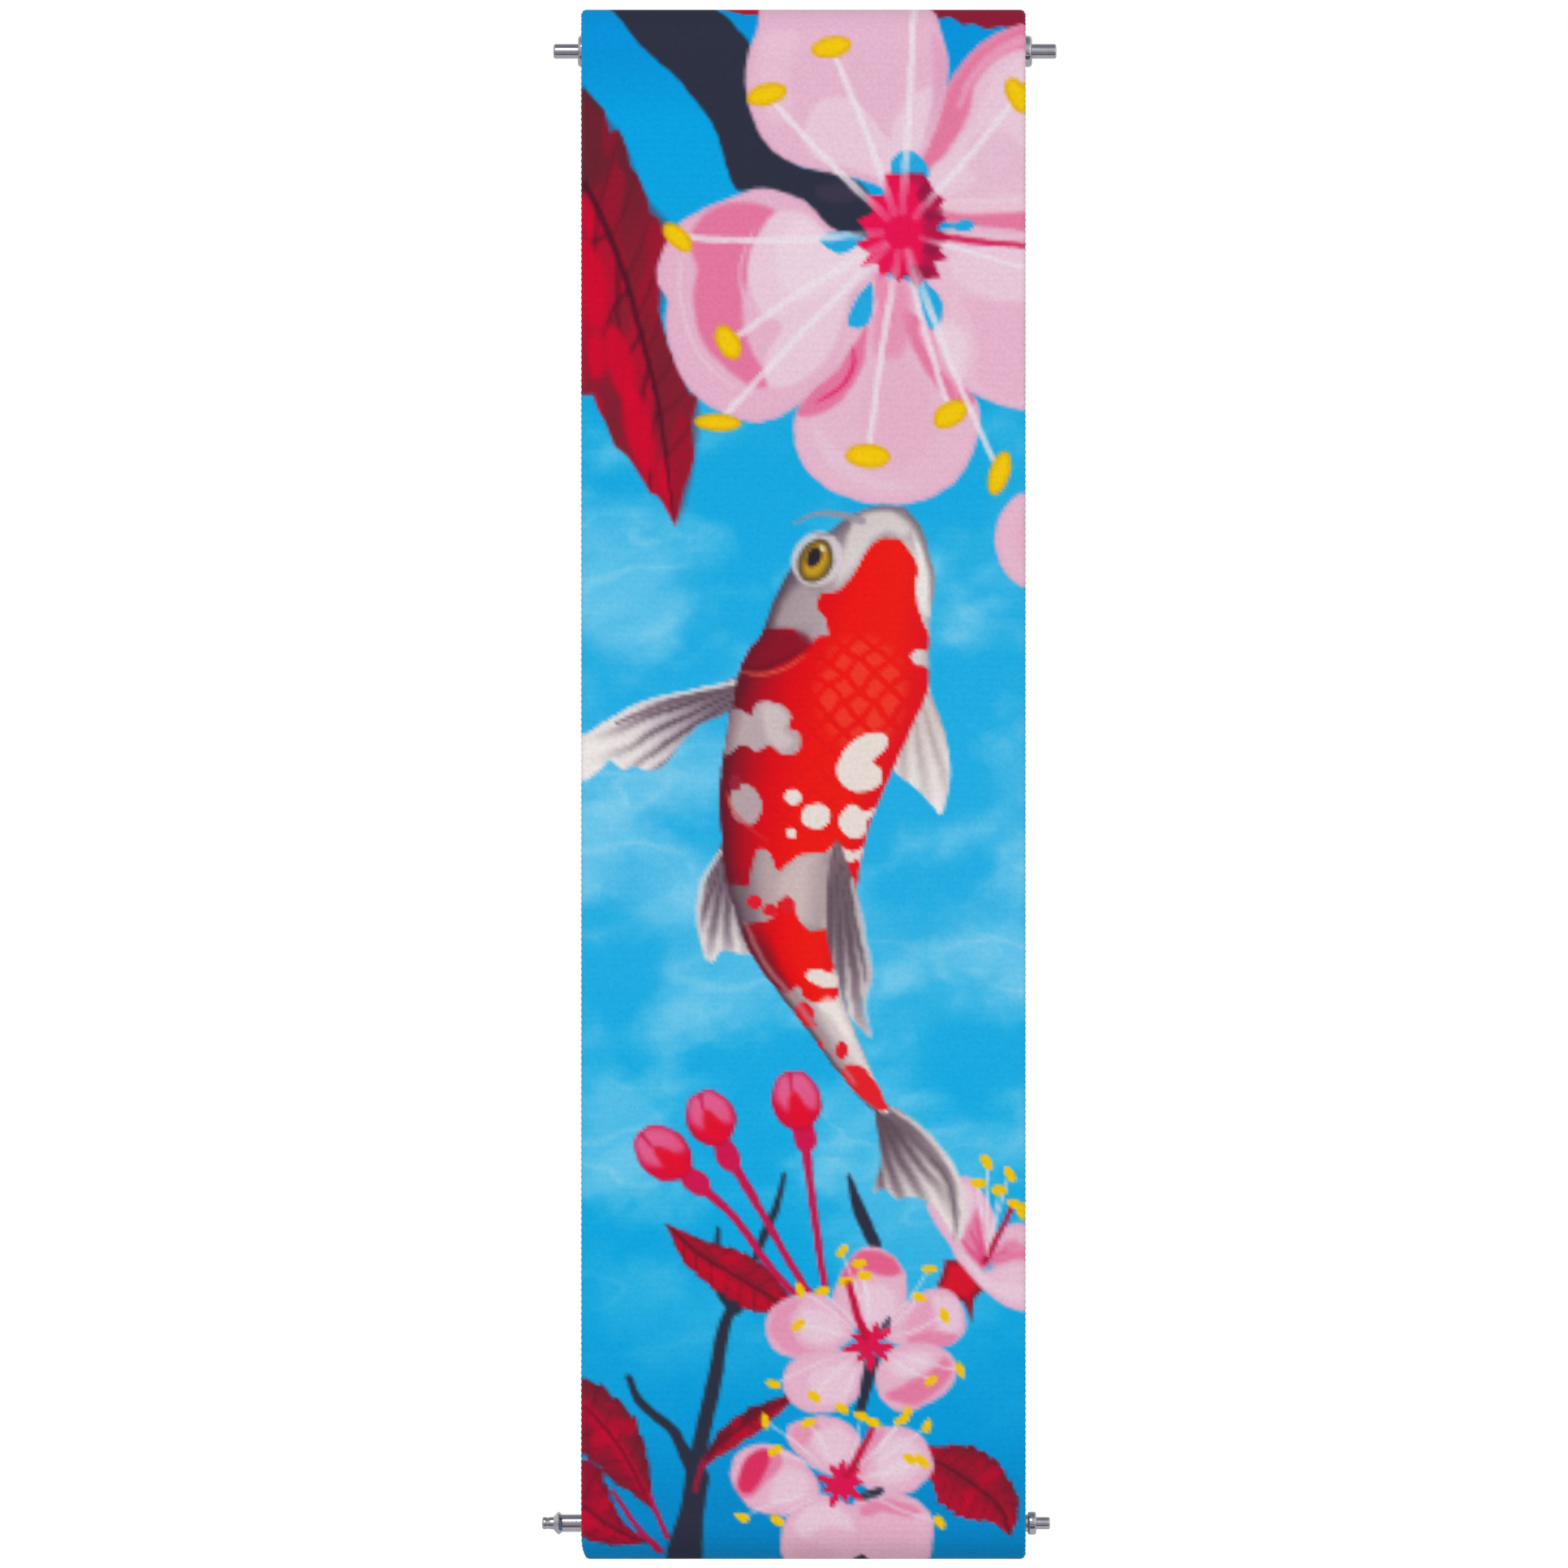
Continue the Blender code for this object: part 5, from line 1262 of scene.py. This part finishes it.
# %% Fold the webbing
tree, given = fold_tree("fold_webbing")
fold(tree, given.outputs["Flat"], given.outputs["Path"], given.outputs["Finish"])
webbing = built("printed_webbing", strap_mesh, tree, Path=strap_path, Finish=webbing_paint)
webbing.data.polygons.foreach_set("use_smooth", [True] * len(webbing.data.polygons))
webbing.data.set_sharp_from_angle(angle=math.radians(50))
low = [min(v.co[n] for v in webbing.data.vertices) * 1000 for n in range(3)]
high = [max(v.co[n] for v in webbing.data.vertices) * 1000 for n in range(3)]
print("webbing box, mm", [round(v, 3) for v in (*low, *high)])
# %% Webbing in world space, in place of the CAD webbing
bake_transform(webbing)
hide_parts("strap_webbing")

# %% [markdown]
# ## Selvedge loops
# At both edges the weft yarn turns back on itself, pick after pick, and leaves a row of tiny loops. One loop
# is repeated along each edge with Geometry Nodes, and the folding tree lays them along the strap. They are
# what makes the edge of a woven strap look soft from near by.
# %% Loop tree
tree, given = fold_tree("selvedge_loops")
for name, value in (("Length", middles[-1] * MM), ("Pitch", 0.34 * MM), ("Half Width", 12.59 * MM),
    ("Loop", 0.1 * MM), ("Yarn", 0.05 * MM)):
    tree.interface.new_socket(name, in_out="INPUT", socket_type="NodeSocketFloat").default_value = value
size = given.outputs
count = add(tree, "ShaderNodeMath", {"operation": "DIVIDE"}, i0=size["Length"], i1=size["Pitch"]).outputs[0]
whole = add(tree, "ShaderNodeMath", {"operation": "FLOOR"}, i0=count).outputs[0]
offset = add(tree, "ShaderNodeCombineXYZ", Y=size["Pitch"]).outputs[0]
half_pitch = add(tree, "ShaderNodeMath", {"operation": "MULTIPLY"}, i0=size["Pitch"], i1=0.5).outputs[0]
arc = add(tree, "GeometryNodeCurveArc", {"mode": "RADIUS"}, Resolution=5, Radius=size["Loop"],
    Start_Angle=-math.pi / 2, Sweep_Angle=math.pi)
yarn = add(tree, "GeometryNodeCurvePrimitiveCircle", Resolution=5, Radius=size["Yarn"])
loop = add(tree, "GeometryNodeCurveToMesh", Curve=arc.outputs[0], Profile_Curve=yarn.outputs[0]).outputs[0]
rows_of_loops = add(tree, "GeometryNodeJoinGeometry")
for side in (1, -1):
    for layer in (-0.24, 0.24):
        x = add(tree, "ShaderNodeMath", {"operation": "MULTIPLY"}, i0=size["Half Width"], i1=side).outputs[0]
        first = add(tree, "ShaderNodeCombineXYZ", X=x, Y=half_pitch, Z=layer * MM).outputs[0]
        line = add(tree, "GeometryNodeMeshLine", Count=whole, Start_Location=first, Offset=offset).outputs[0]
        turn = (0, 0, 0) if side > 0 else (0, 0, math.pi)
        placed = add(tree, "GeometryNodeInstanceOnPoints", Points=line, Instance=loop,
            Rotation=turn).outputs[0]
        tree.links.new(placed, rows_of_loops.inputs[0])
real = add(tree, "GeometryNodeRealizeInstances", Geometry=rows_of_loops.outputs[0]).outputs[0]
at = add(tree, "GeometryNodeInputPosition").outputs[0]
kept = add(tree, "GeometryNodeStoreNamedAttribute", {"data_type": "FLOAT_VECTOR"}, Geometry=real,
    Name="flat_place", Value=at).outputs[0]
fold(tree, kept, given.outputs["Path"], given.outputs["Finish"])
print("loop tree has", len(tree.nodes), "nodes")
# %% Loops on both edges
empty = bpy.data.meshes.new("loops")
loops = built("selvedge_loops", empty, tree, Path=strap_path, Finish=webbing_paint)
bpy.data.objects.remove(strap_path)
count = len(loops.data.vertices)
flat_place = np.zeros(count * 3, np.float32)
loops.data.attributes["flat_place"].data.foreach_get("vector", flat_place)
flat_place = flat_place.reshape(-1, 3) / MM
edges = {-1: mixed(picture[:, 0], YARN, 0.2 * np.ones(rows)),
    1: mixed(picture[:, -1], YARN, 0.2 * np.ones(rows))}
tone = np.zeros((count, 4), np.float32)
tone[:, 3] = 1
for side, colours in edges.items():
    here = np.sign(flat_place[:, 0]) == side
    shown = np.stack([np.interp(flat_place[here, 1], middles, colours[:, n]) for n in range(3)], -1)
    under = flat_place[here, 2:] < 0
    tone[here, :3] = to_linear(np.where(under, shown * 0.45 + 0.55 * code(YARN), shown))
loops.data.attributes.new("dye", "FLOAT_COLOR", "POINT").data.foreach_set("color", tone.ravel())
where = flat_place.copy()
where[:, 1] = np.interp(where[:, 1], middles, down)
place = np.zeros(count * 3, np.float32)
loops.data.vertices.foreach_get("co", place)
inwards = DRAWN_IN * np.interp(flat_place[:, 1], middles, near_bar) * (flat_place[:, 0] < 0)
place[::3] += inwards * MM
loops.data.vertices.foreach_set("co", place)
loops.data.attributes.new("cloth", "FLOAT_VECTOR", "POINT").data.foreach_set("vector", where.ravel())
loops.data.polygons.foreach_set("use_smooth", [True] * len(loops.data.polygons))
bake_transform(loops)
print("loops painted at", count, "points")

# %% [markdown]
# ## Bond film
# A hot-melt film holds each tail. It is milky and a little uneven, where it was pressed between the plies.
# %% Film finish
film_paint, tree, shader = material("pressed_hot_melt_film")
spot = add(tree, "ShaderNodeTexCoord").outputs["Object"]
patch = add(tree, "ShaderNodeTexNoise", Vector=spot, Scale=900.0, Detail=2.0).outputs["Fac"]
mix = add(tree, "ShaderNodeMix", {"data_type": "RGBA"}, Factor=patch)
mix.inputs[6].default_value = rgba("#DCDAD2")
mix.inputs[7].default_value = rgba("#C9C6BC")
tree.links.new(mix.outputs[2], shader.inputs["Base Color"])
shader.inputs["Roughness"].default_value = 0.4
# %% Steel finish
def steel(name, dark, light, rough):
    paint, tree, shader = material(name)
    spot = add(tree, "ShaderNodeTexCoord").outputs["Object"]
    turned = add(tree, "ShaderNodeMapping", Vector=spot, Scale=(14000, 900, 900)).outputs[0]
    marks = add(tree, "ShaderNodeTexNoise", Vector=turned, Scale=1.0, Detail=3.0).outputs["Fac"]
    mix = add(tree, "ShaderNodeMix", {"data_type": "RGBA"}, Factor=marks)
    mix.inputs[6].default_value = rgba(dark)
    mix.inputs[7].default_value = rgba(light)
    tree.links.new(mix.outputs[2], shader.inputs["Base Color"])
    shine = add(tree, "ShaderNodeMapRange", Value=marks, To_Min=rough * 0.7, To_Max=rough * 1.3).outputs[0]
    tree.links.new(shine, shader.inputs["Roughness"])
    shader.inputs["Metallic"].default_value = 1.0
    return paint

bar_paint = steel("polished_stainless_steel", "#A9A8B4", "#CDCCD6", 0.12)
wire_paint = steel("drawn_spring_wire", "#A5A4AC", "#C4C3CA", 0.25)
for name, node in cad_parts.items():
    if name == "strap_webbing":
        continue
    paint = film_paint if "film" in name else wire_paint if "spring" in name else bar_paint
    node.data.materials.clear()
    node.data.materials.append(paint)

# %% [markdown]
# ## Turned steel
# Tubes and pins come off a lathe, so each is one outline turned round the bar's axis. The CAD's outlines are
# used again with more sides and with the small roundings that tumbling gives, because a rounded edge is what
# catches a line of light.
# %% Lathe
def turned(node, axis, outline, facing, body, sides=64):
    """Turns an outline of (along, radius) round an axis through (y, z), and stands it for that CAD node."""
    line = np.array(outline, float)
    a = np.linspace(0, 2 * math.pi, sides, endpoint=False)
    points, faces, starts = [], [], []
    for along, radius in line:
        starts.append(len(points))
        if radius < 1e-6:
            points.append((facing * along, axis[0], axis[1]))
        else:
            points += [(facing * along, axis[0] + radius * math.cos(t),
                axis[1] + radius * math.sin(t)) for t in a]
    closed = line[0][1] > 1e-6
    pairs = list(zip(range(len(line)), range(1, len(line)))) + ([(len(line) - 1, 0)] if closed else [])
    for p, q in pairs:
        for n in range(sides):
            m = (n + 1) % sides
            ring = [starts[p] + n, starts[p] + m, starts[q] + m, starts[q] + n]
            if line[p][1] < 1e-6:
                ring = [starts[p], starts[q] + m, starts[q] + n]
            elif line[q][1] < 1e-6:
                ring = [starts[p] + n, starts[p] + m, starts[q]]
            faces.append(ring if facing > 0 else ring[::-1])
    mesh = bpy.data.meshes.new(node + "_turned")
    mesh.from_pydata((np.array(points) * MM).tolist(), [], faces)
    mesh.polygons.foreach_set("use_smooth", [True] * len(mesh.polygons))
    mesh.set_sharp_from_angle(angle=math.radians(35))
    mesh.materials.append(bar_paint)
    made = bpy.data.objects.new(node + "_turned", mesh)
    scene.collection.objects.link(made)
    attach(made, body)
    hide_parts(node)
    print(made.name, len(faces), "faces")
    return made

def corner(x, r, radius, start, steps=4):
    """A quarter of a circle in an outline, that starts at an angle in degrees and turns left."""
    return [(x + radius * math.cos(math.radians(start + 90 * n / steps)),
        r + radius * math.sin(math.radians(start + 90 * n / steps))) for n in range(steps + 1)]
# %% Tubes
UPPER_AXIS = (0.0, 0.0)
LOWER_AXIS = (-0.33, -84.3)
UPPER_MIDDLE = 0.09
LOWER_MIDDLE = -0.475
UPPER_HALF = 13.0
LOWER_HALF = 12.12
UPPER_BORE = 0.65
LOWER_BORE = 0.69
MOUTH = 0.5

def tube(half, outer, inner, mouth, middle):
    """A tube whose ends are rolled in to a narrow mouth."""
    top = corner(half - 0.2, outer - 0.2, 0.2, 0) + [(x, r) for x,
        r in corner(-half + 0.2, outer - 0.2, 0.2, 90)]
    lip = corner(-half + 0.05, mouth + 0.05, 0.05, 180, 3)
    end = corner(half - 0.05, mouth + 0.05, 0.05, 270, 3)
    taper = MOUTH + 0.1
    bore = [(-half + MOUTH, mouth), (-half + taper, inner), (half - taper, inner), (half - MOUTH, mouth)]
    return [(x + middle, r) for x, r in top + lip + bore + end]

turned("upper_bar_tube", UPPER_AXIS, tube(UPPER_HALF, 0.9, UPPER_BORE, 0.47, UPPER_MIDDLE), 1, "upper_bar")
turned("lower_bar_tube", LOWER_AXIS, tube(LOWER_HALF, 0.85, LOWER_BORE, 0.55, LOWER_MIDDLE), 1, "lower_bar")
# %% Pin sizes
UPPER_SHANK = 0.42
LOWER_SHANK = 0.5
TIP = 0.35
COLLAR = 0.66
COLLAR_WIDTH = 0.47
COLLAR_START = LOWER_HALF + 1.21
COLLAR_END = COLLAR_START + COLLAR_WIDTH
UPPER_END = UPPER_HALF + 1.4
HEAD_LENGTH = 4.0
HEAD_GAP = 0.65
print("lower pins' collars from", round(COLLAR_START, 2), "to", round(COLLAR_END, 2), "mm")
# %% Inside and upper pins
def head(half, shank, bore):
    """The part of a pin inside the tube: the foot of its shank, a shoulder and a long head."""
    shoulder = half - HEAD_GAP
    foot = shoulder - HEAD_LENGTH
    r = bore - 0.05
    return [(shoulder, shank), (shoulder, r), (foot + 0.1, r), (foot, r - 0.1), (foot, 0)]

def plain_pin():
    """An upper pin: a plain shank with a rounded end."""
    tip = [(UPPER_END, 0)] + corner(UPPER_END - 0.13, UPPER_SHANK - 0.13, 0.13, 0, 5)
    return tip + [(UPPER_HALF + 0.02, UPPER_SHANK)] + head(UPPER_HALF, UPPER_SHANK, UPPER_BORE)

for facing, node, body in ((-1, "upper_left_pin", "upper_left_tip"),
    (1, "upper_right_pin", "upper_right_tip")):
    turned(node, UPPER_AXIS, [(x + facing * UPPER_MIDDLE, r) for x, r in plain_pin()], facing, body)
# %% Lower pins
def beaded_pin():
    """The left pin: a rounded bead, a groove, a second bead, and a collar turned to a sharp crest."""
    end = COLLAR_END + 0.68
    crest = COLLAR_START + 0.21
    tip = [(end, 0)] + corner(end - 0.12, TIP - 0.12, 0.12, 0, 5)
    groove = [(end - 0.26, TIP - 0.01), (end - 0.32, TIP - 0.04), (end - 0.38, TIP - 0.01)]
    neck = [(COLLAR_END + 0.12, TIP), (COLLAR_END + 0.04, TIP + 0.01)]
    ridge = [(crest + 0.03, COLLAR - 0.015), (crest, COLLAR), (crest - 0.03, COLLAR - 0.015)]
    return tip + groove + neck + ridge + [(COLLAR_START, LOWER_SHANK)] + head(LOWER_HALF, LOWER_SHANK,
        LOWER_BORE)

def collared_pin():
    """The right pin: a plain tip and a collar with rounded edges."""
    end = COLLAR_END + 0.79
    edge = 0.12
    tip = [(end, 0)] + corner(end - 0.1, TIP - 0.1, 0.1, 0, 5) + [(COLLAR_END + 0.03, TIP),
        (COLLAR_END, 0.38)]
    collar = corner(COLLAR_END - edge, COLLAR - edge, edge, 0, 5)
    collar += corner(COLLAR_START + edge, COLLAR - edge, edge, 90, 5)
    return tip + collar + [(COLLAR_START, LOWER_SHANK)] + head(LOWER_HALF, LOWER_SHANK, LOWER_BORE)

turned("lower_left_pin", LOWER_AXIS, [(x - LOWER_MIDDLE, r) for x, r in beaded_pin()], -1, "lower_left_tip")
turned("lower_right_pin", LOWER_AXIS, [(x + LOWER_MIDDLE, r) for x, r in collared_pin()], 1,
    "lower_right_tip")

# %% [markdown]
# ## Springs
# In each bar a coil spring lies between the two pins' heads. Its end turns touch each other and the rest are
# open, a rule of one angle and one height, so Geometry Nodes winds it. It is wound as two halves from the
# middle, because each pin presses its own half together.
# %% Winding tree
WIRE_STEPS = 181
wind = bpy.data.node_groups.new("wind_half_spring", "GeometryNodeTree")
for name, kind in (("Nothing", "Geometry"), ("Turns", "Float"), ("Closed Turns", "Float"),
    ("Wire", "Float"), ("Radius", "Float"), ("Length", "Float"), ("Facing", "Float"),
    ("Middle", "Vector"), ("Finish", "Material")):
    wind.interface.new_socket(name, in_out="INPUT", socket_type="NodeSocket" + kind)
wind.interface.new_socket("Wound", in_out="OUTPUT", socket_type="NodeSocketGeometry")
size = wind.nodes.new("NodeGroupInput").outputs

def maths(kind, *values):
    return add(wind, "ShaderNodeMath", {"operation": kind},
        **{f"i{n}": v for n, v in enumerate(values)}).outputs[0]

line = add(wind, "GeometryNodeCurvePrimitiveLine", End=(1, 0, 0)).outputs[0]
fine_line = add(wind, "GeometryNodeResampleCurve", Curve=line, Count=WIRE_STEPS).outputs[0]
along = add(wind, "GeometryNodeSplineParameter").outputs["Factor"]
turn = maths("MULTIPLY", along, size["Turns"])
closed_height = maths("MULTIPLY", size["Closed Turns"], maths("MULTIPLY", size["Wire"], 1.02))
room = maths("SUBTRACT", maths("SUBTRACT", size["Length"], maths("MULTIPLY", size["Wire"], 0.5)),
    closed_height)
low_part = add(wind, "ShaderNodeMapRange", Value=turn, From_Max=size["Closed Turns"],
    To_Max=closed_height).outputs[0]
high_part = add(wind, "ShaderNodeMapRange", Value=turn, From_Min=size["Closed Turns"],
    From_Max=size["Turns"], To_Max=room).outputs[0]
from_middle = maths("SUBTRACT", maths("ADD", closed_height, room), maths("ADD", low_part, high_part))
x = maths("MULTIPLY", from_middle, size["Facing"])
angle = maths("MULTIPLY", maths("MULTIPLY", turn, size["Facing"]), -2 * math.pi)
y = maths("MULTIPLY", size["Radius"], maths("COSINE", angle))
z = maths("MULTIPLY", size["Radius"], maths("SINE", angle))
spot = add(wind, "ShaderNodeCombineXYZ", X=x, Y=y, Z=z).outputs[0]
place = add(wind, "ShaderNodeVectorMath", i0=spot, i1=size["Middle"]).outputs[0]
coiled = add(wind, "GeometryNodeSetPosition", Geometry=fine_line, Position=place).outputs[0]
round_wire = add(wind, "GeometryNodeCurvePrimitiveCircle", Resolution=8,
    Radius=maths("MULTIPLY", size["Wire"], 0.5)).outputs[0]
solid = add(wind, "GeometryNodeCurveToMesh", Curve=coiled, Profile_Curve=round_wire,
    Fill_Caps=True).outputs[0]
real = add(wind, "GeometryNodeRealizeInstances", Geometry=solid).outputs[0]
done = add(wind, "GeometryNodeSetMaterial", Geometry=real, Material=size["Finish"]).outputs[0]
wind.links.new(done, wind.nodes.new("NodeGroupOutput").inputs[0])
print("winding tree has", len(wind.nodes), "nodes")
# %% Both springs, in halves
for bar, middle, axis, half_length, radius in (
    ("upper", UPPER_MIDDLE, UPPER_AXIS, 8.3, 0.48),
    ("lower", LOWER_MIDDLE, LOWER_AXIS, 7.42, 0.52),
):
    centre = (middle * MM, axis[0] * MM, axis[1] * MM)
    for side, facing in (("left", -1.0), ("right", 1.0)):
        name = f"{bar}_{side}_half_spring"
        coil = built(name, bpy.data.meshes.new(name), wind, Turns=9.0, Closed_Turns=1.5, Wire=0.2 * MM,
            Radius=radius * MM, Length=half_length * MM, Facing=facing, Middle=centre,
            Finish=wire_paint)
        coil.data.polygons.foreach_set("use_smooth", [True] * len(coil.data.polygons))
        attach(coil, f"{bar}_bar")
        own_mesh(coil)
        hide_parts(f"{bar}_bar_spring")
